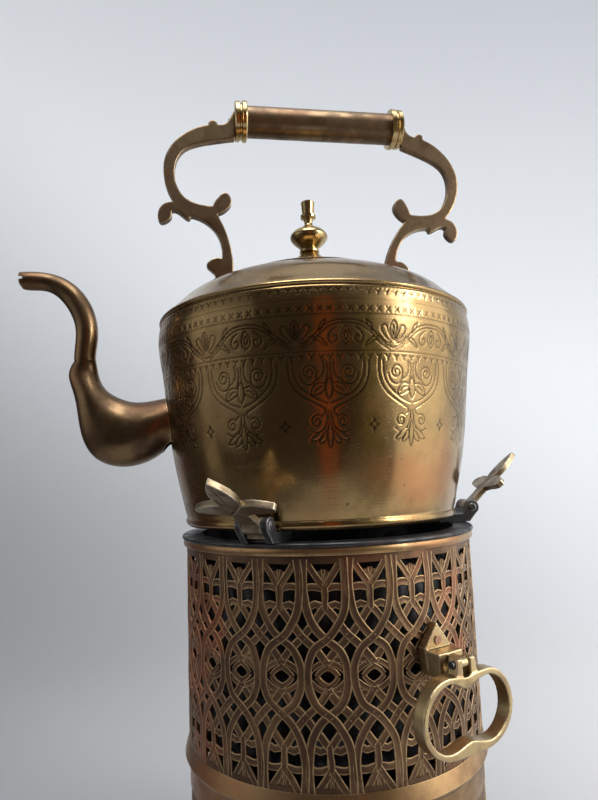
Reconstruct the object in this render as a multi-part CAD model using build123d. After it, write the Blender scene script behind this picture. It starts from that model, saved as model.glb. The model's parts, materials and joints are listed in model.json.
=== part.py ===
from build123d import *
import math
import os

os.makedirs("parts", exist_ok=True)

# Brazier: heights of the stacked pieces, from the floor up
DRUM_R = 106.0
SHEET = 1.5
DRUM_STEP = 1.0
BASE_PLATE_T = 2.5
BASE_PLATE_RIM = 14.0
BASE_RING_H = 29.0
LOWER_DRUM_H = 97.5
BEAD_H = 29.0
BEAD_SWELL = 2.7
BEAD_LEDGE = 6.0
UPPER_DRUM_H = 136.0
RIM_LIP_T = 1.5
RIM_SKIRT_H = 4.6
RIM_T = 1.9

# Fire pot hanging in the drum
POT_FLANGE_T = 3.0
POT_FLANGE_OVER = 0.8
POT_GAP = 6.5
POT_WALL = 3.0
POT_DEPTH = 150.0
POT_ROUND = 26.0
GRATE_T = 3.0
GRATE_LEG = 14.0
GRATE_SLOTS = 7
AIR_HOLE_R = 7.0
AIR_HOLES = 8

# Pot supports: three hinged arms on brackets that also carry the kettle
SUPPORTS = 3
SUPPORT_FIRST_DEG = -123.5
SUPPORT_LEANS = (61.0, 46.0, 50.0)
BRACKET_H = 6.5
BRACKET_REACH = 25.0
SUPPORT_PIN_OUT = 4.0
SUPPORT_PIN_RISE = 4.5
EAR_R = 5.4
EAR_T = 4.6
STEM_W = 13.0
SUPPORT_T = 4.2
SUPPORT_LEN = 58.3
PETAL_REACH = 26.0
SUPPORT_PIN_D = 4.0
SUPPORT_HEAD_R = 3.2
SUPPORT_HEAD_T = 1.1

# Ring handles on the drum
RINGS = 2
RING_FIRST_DEG = -66.0
RING_W = 74.0
RING_H = 44.0
RING_BAND = 9.0
RING_T = 3.4
RING_DROP = 26.8
RING_OUT = 24.5
RING_RISE = 70.5
PRONG_T = 5.0
TONGUE_T = 5.5
TONGUE_R = 3.0
LUG_W = 19.0
LUG_H = 14.0
LUG_RISE = 4.2
LUG_GAP = 8.0
KITE_W = 21.0
KITE_H = 14.7
KITE_T = 6.0
RING_PIN_D = 3.0
RING_RIVET_R = 2.7
RIVET_SHANK_R = 1.6
RIVET_HEAD_T = 0.8
RIVET_RISE = 4.6

# Kettle
KETTLE_SHIFT = -4.5
FOOT_INSET = 9.0
FOOT_H = 6.5
FOOT_RING = 7.0
KETTLE_FLOOR = 1.8
BODY_FLARE = 20.0
BODY_H = 148.8
KETTLE_WALL = 1.4
DOME_H = 44.7
LID_R = 60.0
LID_LEDGE = 4.7
LID_T = 1.5
LID_SKIRT = 5.0
LID_FLAT_R = 25.0
KNOB_H = 63.0
KNOB_BULB_R = 15.3
KNOB_STUD_R = 3.0
NUT_R = 8.0
NUT_T = 4.0
HINGE_W = 24.0
HINGE_D = 3.0
KNUCKLE_R = 2.4
LEAF_T = 1.2
LEAF_LEN = 15.0

# Spout
SPOUT_WALL = 1.1
SPOUT_ROOT_Z = 69.0
SPOUT_PORT_R = 17.0

# Handle
SWAY_DEG = 5.5
ARM_T = 6.5
ARM_FOOT_X = 72.0
ARM_FOOT_RISE = 51.2
GRIP_D = 25.0
GRIP_LEN = 121.0
GRIP_WALL = 1.2
GRIP_RISE = 124.5
COLLAR_R = 16.2
COLLAR_T = 10.0
ROD_D = 6.0

# Clearances
RUN = 0.05
SLIP = 0.3
SIDE = 0.25

# Radii that follow from the drum
LOWER_DRUM_R = DRUM_R - DRUM_STEP
BASE_PLATE_R = LOWER_DRUM_R + BASE_PLATE_RIM
BEAD_R = DRUM_R + BEAD_SWELL
RIM_R = DRUM_R + SLIP + RIM_T
POT_FLANGE_R = RIM_R + POT_FLANGE_OVER
POT_R = DRUM_R - SHEET - POT_GAP
BRACKET_TOE_R = POT_FLANGE_R - BRACKET_REACH
SUPPORT_PIN_R = POT_FLANGE_R + SUPPORT_PIN_OUT
RING_PIVOT_R = DRUM_R + RING_OUT
FOOT_R = POT_FLANGE_R - FOOT_INSET
BODY_R = FOOT_R + BODY_FLARE
LID_HOLE_R = LID_R - LID_LEDGE
LID_SEAT_R = LID_R - 0.6

# Levels that follow from the stack
LOWER_Z = BASE_PLATE_T + BASE_RING_H
BEAD_Z = LOWER_Z + LOWER_DRUM_H
UPPER_Z = BEAD_Z + BEAD_H
RIM_Z = UPPER_Z + UPPER_DRUM_H
FLANGE_Z = RIM_Z + RIM_LIP_T
BRACKET_Z = FLANGE_Z + POT_FLANGE_T
KETTLE_Z = BRACKET_Z + BRACKET_H
SEAM_Z = KETTLE_Z + BODY_H
LID_Z = KETTLE_Z + BODY_H + DOME_H - 7.0
LID_TOP_Z = KETTLE_Z + BODY_H + DOME_H
KETTLE_AT = Pos(KETTLE_SHIFT, 0, 0)
PIVOT_Z = KETTLE_Z + SUPPORT_PIN_RISE
RING_PIVOT_Z = UPPER_Z + RING_RISE
LUG_TOP_Z = RING_PIVOT_Z + LUG_RISE
RING_RIVET_Z = LUG_TOP_Z + RIVET_RISE
HINGE_Y = LID_R + 3.4
HINGE_Z = LID_Z + 2.2
SPOUT_Z = KETTLE_Z + SPOUT_ROOT_Z
ARM_FOOT_Z = SEAM_Z + ARM_FOOT_RISE
GRIP_Z = ARM_FOOT_Z + GRIP_RISE
GRIP_X = math.tan(math.radians(SWAY_DEG)) * GRIP_RISE


def ring_at(r_in, r_out, z, h):
    """Flat-ended tube standing at height z."""
    tube = Cylinder(r_out, h, align=(Align.CENTER, Align.CENTER, Align.MIN))
    tube -= Cylinder(r_in, h, align=(Align.CENTER, Align.CENTER, Align.MIN))
    return Pos(0, 0, z) * tube


def disc_at(r, z, h):
    """Solid disc standing at height z."""
    return Pos(0, 0, z) * Cylinder(r, h, align=(Align.CENTER, Align.CENTER, Align.MIN))


def turned(edges):
    """Solid of revolution about Z of a closed outline drawn in the XZ plane."""
    return revolve(make_face(Wire(edges)), Axis.Z, 360)


def line(*points):
    """Edges of an open polyline through points given as radius and height."""
    ends = [Vector(r, 0, z) for r, z in points]
    return [Edge.make_line(a, b) for a, b in zip(ends, ends[1:])]


def curve(*points):
    """One smooth edge through points given as radius and height."""
    return [Edge.make_spline([Vector(r, 0, z) for r, z in points])]


# Brazier stack

def base_plate():
    plate = disc_at(BASE_PLATE_R, 0, BASE_PLATE_T)
    return fillet(plate.edges().filter_by(GeomType.CIRCLE).sort_by(Axis.Z)[-1], BASE_PLATE_T * 0.4)


def base_ring():
    low = BASE_PLATE_T
    top = LOWER_Z
    foot = BASE_PLATE_R - 2.0
    wall = 2.0
    neck = LOWER_DRUM_R + 1.5
    outer = curve((foot, low + 5), (neck + 2.0, low + 13), (neck, top - 4))
    inner = curve((neck - wall, top - 4), (neck + 2.0 - wall, low + 12), (foot - wall, low + 4))
    edges = line((foot - wall, low), (foot, low), (foot, low + 5)) + outer
    edges += line((neck, top - 4), (neck, top), (LOWER_DRUM_R - 3.5, top))
    edges += line((LOWER_DRUM_R - 3.5, top), (LOWER_DRUM_R - 3.5, top - 2), (neck - wall, top - 4))
    edges += inner + line((foot - wall, low + 4), (foot - wall, low))
    return turned(edges)


def radial_cutter(points, radius, deg):
    """Prism that cuts an outline, given as arc length and height, through the sheet at an azimuth."""
    outline = make_face(Polyline(*[(0, u, v) for u, v in points], close=True))
    prism = extrude(Pos(radius - 6, 0, 0) * outline, amount=12, dir=(1, 0, 0))
    return Rot(0, 0, deg) * prism


def behind_plate(deg, z):
    """Whether a hole would open behind a ring bracket's rivet, where the sheet stays whole."""
    near = any(abs((deg - ring_azimuth(k) + 180) % 360 - 180) < 4 for k in range(RINGS))
    return near and abs(z - RING_RIVET_Z) < 2 * RING_RIVET_R


def pierced(radius, z, h, rows):
    """Sheet cylinder with each row's outline cut once per repeat."""
    wall = ring_at(radius - SHEET, radius, z, h)
    cutters = []
    for centre, offset, outline in rows:
        for k in range(REPEATS):
            deg = (k + offset) * 360 / REPEATS + STRAP_DEG
            points = [(u, centre + v) for u, v in outline]
            if not behind_plate(deg, centre):
                cutters.append(radial_cutter(points, radius, deg))
    return wall - cutters


def drum_upper():
    drum = pierced(DRUM_R, UPPER_Z, UPPER_DRUM_H, upper_rows())
    hole = Pos(DRUM_R, 0, RING_RIVET_Z) * Rot(0, 90, 0) * Cylinder(RIVET_SHANK_R + RUN, 12)
    return drum - [Rot(0, 0, ring_azimuth(k)) * hole for k in range(RINGS)]


# Pierced pattern: double straps at every repeat, crossing ogee strands between them
REPEATS = 24
STRAP_DEG = -95.0
PITCH_W = 2 * math.pi * DRUM_R / REPEATS
BAR = 3.6


def diamond(w, up, down):
    return [(0, up), (w / 2, 0), (0, -down), (-w / 2, 0)]


def bean(side):
    near = PITCH_W / 2 - BAR / 2
    far = 1.7
    return [(side * far, 3.4), (side * near, 3.6), (side * near, -3.0), (side * far, -3.0)]


def upper_rows():
    mid = UPPER_Z + UPPER_DRUM_H / 2 - 4.5
    rows = []
    for flip in (1, -1):
        top = [(-4.2 * 1.85, 4.2 * flip), (4.2 * 1.85, 4.2 * flip), (0, -4.6 * flip)]
        rows.append((mid + 61.0 * flip, 0.5, top))
        rows.append((mid + 46.5 * flip, 0.5, [(u, v * flip) for u, v in bean(-1)]))
        rows.append((mid + 46.5 * flip, 0.5, [(u, v * flip) for u, v in bean(1)]))
        rows.append((mid + 29.0 * flip, 0.5, diamond(9.0, 6.0, 6.0)))
        rows.append((mid + 29.0 * flip, 0.0, diamond(7.6, 6.0, 6.0)))
        rows.append((mid + 13.5 * flip, 0.5, diamond(9.4, 6.0, 6.0)))
        rows.append((mid + 13.0 * flip, 0.0, [(0, 8.0 * flip), (3.9, 0), (0, -10.0 * flip), (-3.9, 0)]))
    return rows


def lower_rows():
    mid = LOWER_Z + LOWER_DRUM_H / 2
    rows = []
    for flip in (1, -1):
        rows.append((mid + 34.0 * flip, 0.5, [(u, v * flip) for u, v in bean(-1)]))
        rows.append((mid + 34.0 * flip, 0.5, [(u, v * flip) for u, v in bean(1)]))
        rows.append((mid + 17.0 * flip, 0.5, diamond(10.5, 9.0, 9.0)))
    rows.append((mid, 0.0, diamond(10.0, 10.5, 10.5)))
    return rows


def mid_bead():
    """Rolled band between the stages, with a ledge at each end for a drum to stand on."""
    wall = 2.2
    low = BEAD_Z
    top = UPPER_Z
    neck = LOWER_DRUM_R + 0.4
    inner = LOWER_DRUM_R - wall
    upper_ledge = DRUM_R - BEAD_LEDGE
    lower_ledge = LOWER_DRUM_R - BEAD_LEDGE
    edges = line((upper_ledge, top), (DRUM_R, top))
    edges += curve((DRUM_R, top), (BEAD_R - 1.2, top - 5), (BEAD_R, top - 9.5))
    edges += line((BEAD_R, top - 9.5), (BEAD_R - 1.0, top - 11.5), (neck, top - 14), (neck, low))
    edges += line((neck, low), (lower_ledge, low), (lower_ledge, low + 2), (inner, low + 2))
    edges += line((inner, low + 2), (inner, top - 2), (upper_ledge, top - 2), (upper_ledge, top))
    return turned(edges)


def rim_band():
    """Rolled band: a lip on the drum's top edge and a rounded skirt outside it."""
    top = FLANGE_Z
    skirt = DRUM_R + SLIP
    low = RIM_Z - RIM_SKIRT_H + RIM_LIP_T
    edge = RIM_R - 0.6
    lip = DRUM_R - SHEET - 1.5
    ends = (Vector(edge, 0, low), Vector(RIM_R, 0, (low + top) / 2), Vector(edge, 0, top))
    roll = Edge.make_three_point_arc(*ends)
    edges = line((edge, top), (lip, top), (lip, RIM_Z), (skirt, RIM_Z), (skirt, low), (edge, low)) + [roll]
    return turned(edges)


# Fire pot

def quarter(hub, low, radius):
    """Quarter circle from the pot's wall down to its floor."""
    bend = radius * math.cos(math.radians(45))
    middle = low + POT_ROUND
    ends = Vector(hub + radius, 0, middle), Vector(hub, 0, middle - radius)
    return Edge.make_three_point_arc(ends[0], Vector(hub + bend, 0, middle - bend), ends[1])


def fire_pot():
    """Iron bowl whose flange lies on the rim, with air holes in its floor."""
    top = BRACKET_Z
    low = FLANGE_Z - POT_DEPTH
    hub = POT_R - POT_ROUND
    inside = POT_R - POT_WALL
    edge = POT_FLANGE_R - 1.0
    outermost = Vector(POT_FLANGE_R, 0, top - POT_FLANGE_T / 2)
    roll = Edge.make_three_point_arc(Vector(edge, 0, top), outermost, Vector(edge, 0, FLANGE_Z))
    edges = line((inside, top), (edge, top)) + [roll]
    edges += line((edge, FLANGE_Z), (POT_R, FLANGE_Z), (POT_R, low + POT_ROUND))
    edges += [quarter(hub, low, POT_ROUND)]
    edges += line((hub, low), (0, low), (0, low + POT_WALL), (hub, low + POT_WALL))
    edges += [quarter(hub, low, POT_ROUND - POT_WALL)] + line((inside, low + POT_ROUND), (inside, top))
    hole = Pos(hub * 0.62, 0, 0) * disc_at(AIR_HOLE_R, low - 1, POT_WALL + 2)
    return turned(edges) - [Rot(0, 0, k * 360 / AIR_HOLES) * hole for k in range(AIR_HOLES)]


def fire_grate():
    """Slotted disc on three legs that keeps the charcoal off the pot's floor."""
    low = FLANGE_Z - POT_DEPTH + POT_WALL
    r = POT_R - POT_ROUND - 3.0
    plate = disc_at(r, low + GRATE_LEG, GRATE_T)
    pitch = 2 * r / (GRATE_SLOTS + 1)
    slots = []
    for k in range(GRATE_SLOTS):
        y = (k - (GRATE_SLOTS - 1) / 2) * pitch
        length = 2 * math.sqrt(r * r - y * y) - 16
        slots.append(Pos(0, y, low + GRATE_LEG + GRATE_T / 2) * Box(length, pitch * 0.45, GRATE_T * 2))
    plate -= slots
    leg = Pos(r - 5, 0, low) * Cylinder(3.5, GRATE_LEG + 0.5, align=(Align.CENTER, Align.CENTER, Align.MIN))
    for k in range(3):
        plate += Rot(0, 0, k * 120 + 90) * leg
    return plate


# Pot supports

def support_azimuth(k):
    return SUPPORT_FIRST_DEG + k * 360 / SUPPORTS


def support_bracket(k):
    """Clevis whose toe lies on the pot's flange and under the kettle's foot."""
    gap = STEM_W + 2 * SIDE
    width = gap + 2 * EAR_T
    heel = SUPPORT_PIN_R - 3.5
    block = Box(heel - BRACKET_TOE_R, width, BRACKET_H)
    block = Pos((BRACKET_TOE_R + heel) / 2, 0, BRACKET_Z + BRACKET_H / 2) * block
    block = fillet(block.edges().filter_by(Axis.Z).sort_by(Axis.X)[:2], 3.0)
    ear = Plane.XZ * Pos(SUPPORT_PIN_R, PIVOT_Z) * Circle(EAR_R)
    under = (SUPPORT_PIN_R + EAR_R * 0.7, PIVOT_Z - EAR_R * 0.7)
    over = (SUPPORT_PIN_R - EAR_R * 0.9, PIVOT_Z + EAR_R * 0.43)
    foot = (heel - 6, BRACKET_Z), (heel + 1, BRACKET_Z)
    web = Plane.XZ * Polyline(*foot, under, over, (heel - 4, KETTLE_Z), close=True)
    ears = extrude(ear + make_face(web), amount=width / 2, both=True)
    arm_room = Pos(SUPPORT_PIN_R + 1.0, 0, PIVOT_Z) * Box(2 * EAR_R + 3.0, gap, 6 * EAR_R)
    bore = Pos(SUPPORT_PIN_R, 0, PIVOT_Z) * Rot(90, 0, 0) * Cylinder(SUPPORT_PIN_D / 2 + RUN, width + 2)
    return Rot(0, 0, support_azimuth(k)) * (block + ears - arm_room - bore)


def support_pin(k):
    width = STEM_W + 2 * SIDE + 2 * EAR_T
    pin = Cylinder(SUPPORT_PIN_D / 2, width)
    upward = (Align.CENTER, Align.CENTER, Align.MIN)
    head = Cone(SUPPORT_HEAD_R, SUPPORT_HEAD_R * 0.6, SUPPORT_HEAD_T, align=upward)
    pin += Pos(0, 0, width / 2) * head
    pin += Rot(180, 0, 0) * Pos(0, 0, width / 2) * head
    return Rot(0, 0, support_azimuth(k)) * Pos(SUPPORT_PIN_R, 0, PIVOT_Z) * Rot(90, 0, 0) * pin


def support_outline():
    """Fleur-de-lis plate upright on its pin: a stem, two side petals and a pointed middle petal."""
    half = STEM_W / 2
    stem = [(half, 2.5), (half - 0.6, 10.0), (half - 0.4, 18.0)]
    petal_under = [(half - 0.4, 18.0), (14.0, 20.2), (20.0, 20.8), (PETAL_REACH - 0.8, 22.6)]
    petal_end = [(PETAL_REACH - 0.8, 22.6), (PETAL_REACH + 0.3, 24.8), (PETAL_REACH, 27.4)]
    petal_over = [(PETAL_REACH, 27.4), (20.0, 30.2), (13.0, 31.6), (6.0, 30.8)]
    middle = [(6.0, 30.8), (7.6, 37.5), (6.0, 47.5), (0, SUPPORT_LEN)]
    right = []
    for part in (stem, petal_under, petal_end, petal_over, middle):
        right.append(Edge.make_spline([Vector(0, y, z) for y, z in part]))
    left = [edge.mirror(Plane.XZ) for edge in right]
    bottom = [Edge.make_line(Vector(0, -half, 2.5), Vector(0, half, 2.5))]
    return make_face(Wire(right + left + bottom))


def support_heel():
    """Heel under the barrel that meets the bracket's end and stops the arm's outward fall."""
    heel = Plane.XZ * Polyline((-5.0, -1.0), (-5.4, -8.0), (-1.5, -8.0), (0, -4.0), close=True)
    return extrude(make_face(heel), amount=STEM_W / 2, both=True)


def support_arm(k):
    """Hinged plate leaning outward on its pin, its petals level and square to the lean."""
    plate = extrude(support_outline(), amount=SUPPORT_T / 2, dir=(1, 0, 0), both=True)
    for side in (1, -1):
        face = side * SUPPORT_T / 2
        for turn in (43.5, -43.5):
            plate -= Pos(face, 0, 24.2) * Rot(turn, 0, 0) * Box(0.9, 1.2, 19.0)
        plate -= Pos(face, 0, 43.0) * Box(0.9, 1.2, 17.0)
    arm = Rot(0, SUPPORT_LEANS[k], 0) * plate
    arm += Rot(90, 0, 0) * Cylinder(EAR_R - 0.2, STEM_W)
    arm += support_heel()
    arm -= Rot(90, 0, 0) * Cylinder(SUPPORT_PIN_D / 2 + RUN, STEM_W + 2)
    return Rot(0, 0, support_azimuth(k)) * Pos(SUPPORT_PIN_R, 0, PIVOT_Z) * arm


# Ring handles

def ring_azimuth(k):
    return RING_FIRST_DEG + k * 360 / RINGS


def ring_bracket(k):
    """Pointed plate on the drum above a level lug that ends in the ring's tongue."""
    seat = DRUM_R + SLIP
    side = KITE_W / 2
    low = LUG_TOP_Z - LUG_H
    corners = [(0, 0, LUG_TOP_Z + KITE_H), (0, side, LUG_TOP_Z + 1), (0, side - 1, low)]
    corners += [(0, -y, z) for _, y, z in corners[:0:-1]]
    face = make_face(Polyline(*corners, close=True))
    plate = Pos(seat - 1.5, 0, 0) * extrude(face, amount=KITE_T + 1.5, dir=(1, 0, 0))
    front = RING_PIVOT_R - LUG_GAP
    lug = Pos((seat + front) / 2, 0, LUG_TOP_Z - LUG_H / 2) * Box(front - seat, LUG_W, LUG_H)
    tongue = Pos(RING_PIVOT_R - LUG_GAP / 2, 0, RING_PIVOT_Z) * Box(LUG_GAP, TONGUE_T, 2 * TONGUE_R)
    tongue += Pos(RING_PIVOT_R, 0, RING_PIVOT_Z) * Rot(90, 0, 0) * Cylinder(TONGUE_R, TONGUE_T)
    bracket = plate + lug + tongue
    bracket -= disc_at(seat, 0, KETTLE_Z)
    bracket -= Pos(RING_PIVOT_R, 0, RING_PIVOT_Z) * Rot(90, 0, 0) * Cylinder(RING_PIN_D / 2 + RUN, KITE_W)
    bracket -= Pos(seat, 0, RING_RIVET_Z) * Rot(0, 90, 0) * Cylinder(RIVET_SHANK_R + RUN, 4 * KITE_T)
    return Rot(0, 0, ring_azimuth(k)) * bracket


def ring_rivet(k):
    """Copper rivet through the plate and the drum."""
    length = KITE_T + SLIP + SHEET + 0.2
    shank = Cylinder(RIVET_SHANK_R, length, align=(Align.CENTER, Align.CENTER, Align.MIN))
    head = Cylinder(RING_RIVET_R, RIVET_HEAD_T, align=(Align.CENTER, Align.CENTER, Align.MIN))
    rivet = shank + Pos(0, 0, length) * head + Pos(0, 0, -RIVET_HEAD_T) * head
    seat = DRUM_R + SLIP + KITE_T - length
    return Rot(0, 0, ring_azimuth(k)) * Pos(seat, 0, RING_RIVET_Z) * Rot(0, 90, 0) * rivet


def ring_pin(k):
    width = TONGUE_T + 4 * SIDE + 2 * PRONG_T
    pin = Cylinder(RING_PIN_D / 2, width)
    head = Cylinder(RING_PIN_D / 2 + 0.7, 0.7, align=(Align.CENTER, Align.CENTER, Align.MIN))
    pin += Pos(0, 0, width / 2) * head
    pin += Rot(180, 0, 0) * Pos(0, 0, width / 2) * head
    return Rot(0, 0, ring_azimuth(k)) * Pos(RING_PIVOT_R, 0, RING_PIVOT_Z) * Rot(90, 0, 0) * pin


def kidney(w, h, dip, swell):
    """Closed oval dipped at the middle of its top and raised at the middle of its bottom."""
    half = [(0, h / 2 - dip), (w * 0.14, h / 2 - dip * 0.3), (w * 0.3, h * 0.47), (w * 0.47, h * 0.18)]
    half += [(w * 0.47, -h * 0.18), (w * 0.3, -h * 0.45)]
    half += [(w * 0.14, -h / 2 + swell * 0.5), (0, -h / 2 + swell)]
    points = [Vector(x, 0, z) for x, z in half]
    points += [Vector(-x, 0, z) for x, z in reversed(half[1:-1])]
    return make_face(Wire([Edge.make_spline(points, periodic=True)]))


def ring_handle(k):
    """Kidney-shaped band, thickest at its bottom, that hangs from the lug by two prongs."""
    at = Pos(0, 0, -RING_DROP)
    hole = at * kidney(RING_W - 2 * RING_T, RING_H - 2 * RING_T, 4.6, 4.0)
    band = extrude(at * kidney(RING_W, RING_H, 2.0, 0.0), amount=RING_BAND / 2, both=True)
    inner = TONGUE_T / 2 + SIDE
    root = RING_DROP - RING_H / 2 + 4.0
    side = Polyline((inner, 0, 3.2), (inner + PRONG_T * 0.8, 0, 3.2), (inner + PRONG_T, 0, -2),
                    (inner + PRONG_T + 1.5, 0, -root), (inner, 0, -root), close=True)
    prong = extrude(make_face(side), amount=RING_BAND / 2 - 0.8, both=True)
    ring = band + prong + prong.mirror(Plane.YZ) - extrude(hole, amount=RING_BAND, both=True)
    ring -= Rot(0, 90, 0) * Cylinder(RING_PIN_D / 2 + RUN, RING_W)
    return Rot(0, 0, ring_azimuth(k)) * Pos(RING_PIVOT_R, 0, RING_PIVOT_Z) * Rot(0, 0, 90) * ring


# Kettle

def body_points(inset):
    """Wall profile from the foot to the seam, moved in by inset."""
    rise = ((0.0, 0.04), (0.1, 0.2), (0.25, 0.43), (0.48, 0.67), (0.77, 0.905), (0.945, 1.0), (1.0, 0.93))
    height = BODY_H - FOOT_H
    return [(FOOT_R + BODY_FLARE * f - inset, KETTLE_Z + FOOT_H + height * t) for t, f in rise]


def body_solid(inset):
    """The body's outside as one solid, for trimming what is fixed to it."""
    points = body_points(inset)
    edges = curve(*points) + line(points[-1], (0, points[-1][1]), (0, points[0][1]), points[0])
    return turned(edges)


def kettle_body():
    outer = body_points(0)
    inner = body_points(KETTLE_WALL)
    edges = curve(*outer) + line(outer[-1], inner[-1]) + curve(*inner[::-1]) + line(inner[0], outer[0])
    port = Pos(-BODY_R, 0, SPOUT_Z) * Rot(0, 90, 0) * Cylinder(SPOUT_PORT_R, BODY_R)
    return KETTLE_AT * (turned(edges) - port)


def kettle_foot():
    """Rounded foot ring with the kettle's floor in it."""
    z = KETTLE_Z
    top = z + FOOT_H
    inner = FOOT_R - FOOT_RING
    floor_z = z + 2 + KETTLE_FLOOR
    edges = line((inner, z), (FOOT_R - 0.6, z))
    edges += curve((FOOT_R - 0.6, z), (FOOT_R + 1.5, z + FOOT_H * 0.45), (FOOT_R + 0.7, z + FOOT_H * 0.92))
    edges += line((FOOT_R + 0.7, z + FOOT_H * 0.92), (FOOT_R + 0.5, top), (inner, top), (inner, floor_z))
    edges += line((inner, floor_z), (0, floor_z), (0, z + 2), (inner, z + 2), (inner, z))
    return KETTLE_AT * turned(edges)


def dome_points(lift):
    """Dome profile from the seam to the lid's seat, raised by lift."""
    shape = ((0.970, 0.0), (0.998, 0.035), (0.954, 0.105), (0.8455, 0.23), (0.683, 0.435))
    shape += ((0.5287, 0.567), (0.366, 0.665), (0.208, 0.738), (0.0, 0.82))
    return [(LID_SEAT_R + (BODY_R - LID_SEAT_R) * f + lift, SEAM_Z + DOME_H * t + lift) for f, t in shape]


def dome_solid(lift):
    points = dome_points(lift)
    low = SEAM_Z - 40
    edges = curve(*points)
    edges += line(points[-1], (0, points[-1][1] + 5), (0, low), (points[0][0], low), points[0])
    return turned(edges)


def kettle_shoulder():
    """Dome that caps the body, ending in a flat seat for the lid."""
    outer = dome_points(0)
    inner = [(r - KETTLE_WALL, z - KETTLE_WALL * (0.2 if i < 2 else 1.0)) for i, (r, z) in enumerate(outer)]
    inner[0] = (outer[0][0] - 2.2, SEAM_Z)
    edges = curve(*outer)
    edges += line(outer[-1], (LID_SEAT_R - 0.6, LID_Z), (LID_HOLE_R, LID_Z), (LID_HOLE_R, LID_Z - 2.6))
    edges += line((LID_HOLE_R, LID_Z - 2.6), inner[-1]) + curve(*inner[::-1]) + line(inner[0], outer[0])
    return KETTLE_AT * turned(edges)


def lid_points(lift):
    """Top of the lid from its flat middle to its rim, raised by lift."""
    drop = LID_TOP_Z - LID_Z - LID_T
    shape = ((LID_FLAT_R, 0.0), (LID_FLAT_R + 12, 0.13), (LID_FLAT_R + 24, 0.48), (LID_R - 1.0, 1.0))
    return [(r, LID_TOP_Z - drop * t + lift) for r, t in shape]


def lid():
    top = lid_points(0)
    under = lid_points(-LID_T)
    bore = KNOB_STUD_R + RUN
    skirt_out = LID_HOLE_R - SLIP
    skirt_in = skirt_out - LID_T
    edges = line((bore, LID_TOP_Z), top[0]) + curve(*top)
    edges += line(top[-1], (LID_R, LID_Z + LID_T * 0.5), (LID_R, LID_Z))
    skirt_low = LID_Z - LID_SKIRT
    edges += line((LID_R, LID_Z), (skirt_out, LID_Z), (skirt_out, skirt_low), (skirt_in, skirt_low))
    edges += line((skirt_in, LID_Z - LID_SKIRT), (skirt_in, LID_Z + 0.4), under[2]) + curve(*under[2::-1])
    edges += line(under[0], (bore, LID_TOP_Z - LID_T), (bore, LID_TOP_Z))
    return KETTLE_AT * turned(edges)


def knob():
    """Turned finial: bell foot, ring, bulb, waist and a small cup, on a stud through the lid."""
    z = LID_TOP_Z
    k = KNOB_H / 63.0
    r = KNOB_BULB_R / 15.3
    foot = curve((24.0, z), (13.5, z + 11.5 * k), (8.0, z + 17.5 * k), (6.0, z + 19.0 * k))
    ring = line((6.0, z + 19.0 * k), (8.0, z + 19.4 * k), (8.0, z + 21.2 * k), (6.2, z + 22.2 * k))
    swell = [(6.2, z + 22.2 * k), (11.5 * r, z + 26.6 * k), (KNOB_BULB_R, z + 32.9 * k)]
    bulb = curve(*swell, (12.0 * r, z + 37.4 * k), (5.2, z + 40.5 * k))
    waist = curve((5.2, z + 40.5 * k), (3.5, z + 43.5 * k), (4.2, z + 48.0 * k))
    collar = line((4.2, z + 48.0 * k), (6.3, z + 49.0 * k), (6.3, z + 51.2 * k), (4.6, z + 52.4 * k))
    top = z + KNOB_H
    cup = line((4.6, z + 52.4 * k), (5.0, z + 54.5 * k), (5.6, top - 0.8), (5.0, top), (0, top))
    stud_low = z - LID_T - NUT_T - 1.0
    stud = line((0, z + KNOB_H), (0, stud_low), (KNOB_STUD_R, stud_low), (KNOB_STUD_R, z), (24.0, z))
    return KETTLE_AT * turned(foot + ring + bulb + waist + collar + cup + stud)


def knob_nut():
    top = LID_TOP_Z - LID_T
    nut = extrude(RegularPolygon(NUT_R, 6), amount=NUT_T)
    nut -= Cylinder(KNOB_STUD_R + RUN, NUT_T * 3)
    return KETTLE_AT * Pos(0, 0, top - NUT_T) * nut


def knuckle(x0, x1):
    """Hinge knuckle from x0 to x1 along the lid's hinge line, bored for the pin."""
    barrel = Cylinder(KNUCKLE_R, x1 - x0) - Cylinder(HINGE_D / 2 + RUN, x1 - x0 + 2)
    return Pos((x0 + x1) / 2, HINGE_Y, HINGE_Z) * Rot(0, 90, 0) * barrel


def hinge_leaf_lid():
    """Leaf that follows the lid's crown, with the middle knuckle."""
    third = HINGE_W / 3
    low = lid_points(SLIP)
    high = lid_points(SLIP + LEAF_T)
    low[-1] = (HINGE_Y - KNUCKLE_R * 0.5, HINGE_Z - 0.4)
    high[-1] = (HINGE_Y - KNUCKLE_R * 0.5, HINGE_Z - 0.4 + LEAF_T)
    edges = curve(*low[1:]) + line(low[-1], high[-1]) + curve(*high[:0:-1]) + line(high[1], low[1])
    band = turned(edges)
    strip = Pos(0, HINGE_Y - LEAF_LEN, LID_Z) * Box(third - 2 * SIDE, 2 * LEAF_LEN, 60)
    leaf = band & strip
    leaf += knuckle(-third / 2 + SIDE, third / 2 - SIDE)
    leaf -= Pos(0, HINGE_Y, HINGE_Z) * Rot(0, 90, 0) * Cylinder(HINGE_D / 2 + RUN, HINGE_W)
    return KETTLE_AT * leaf


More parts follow.
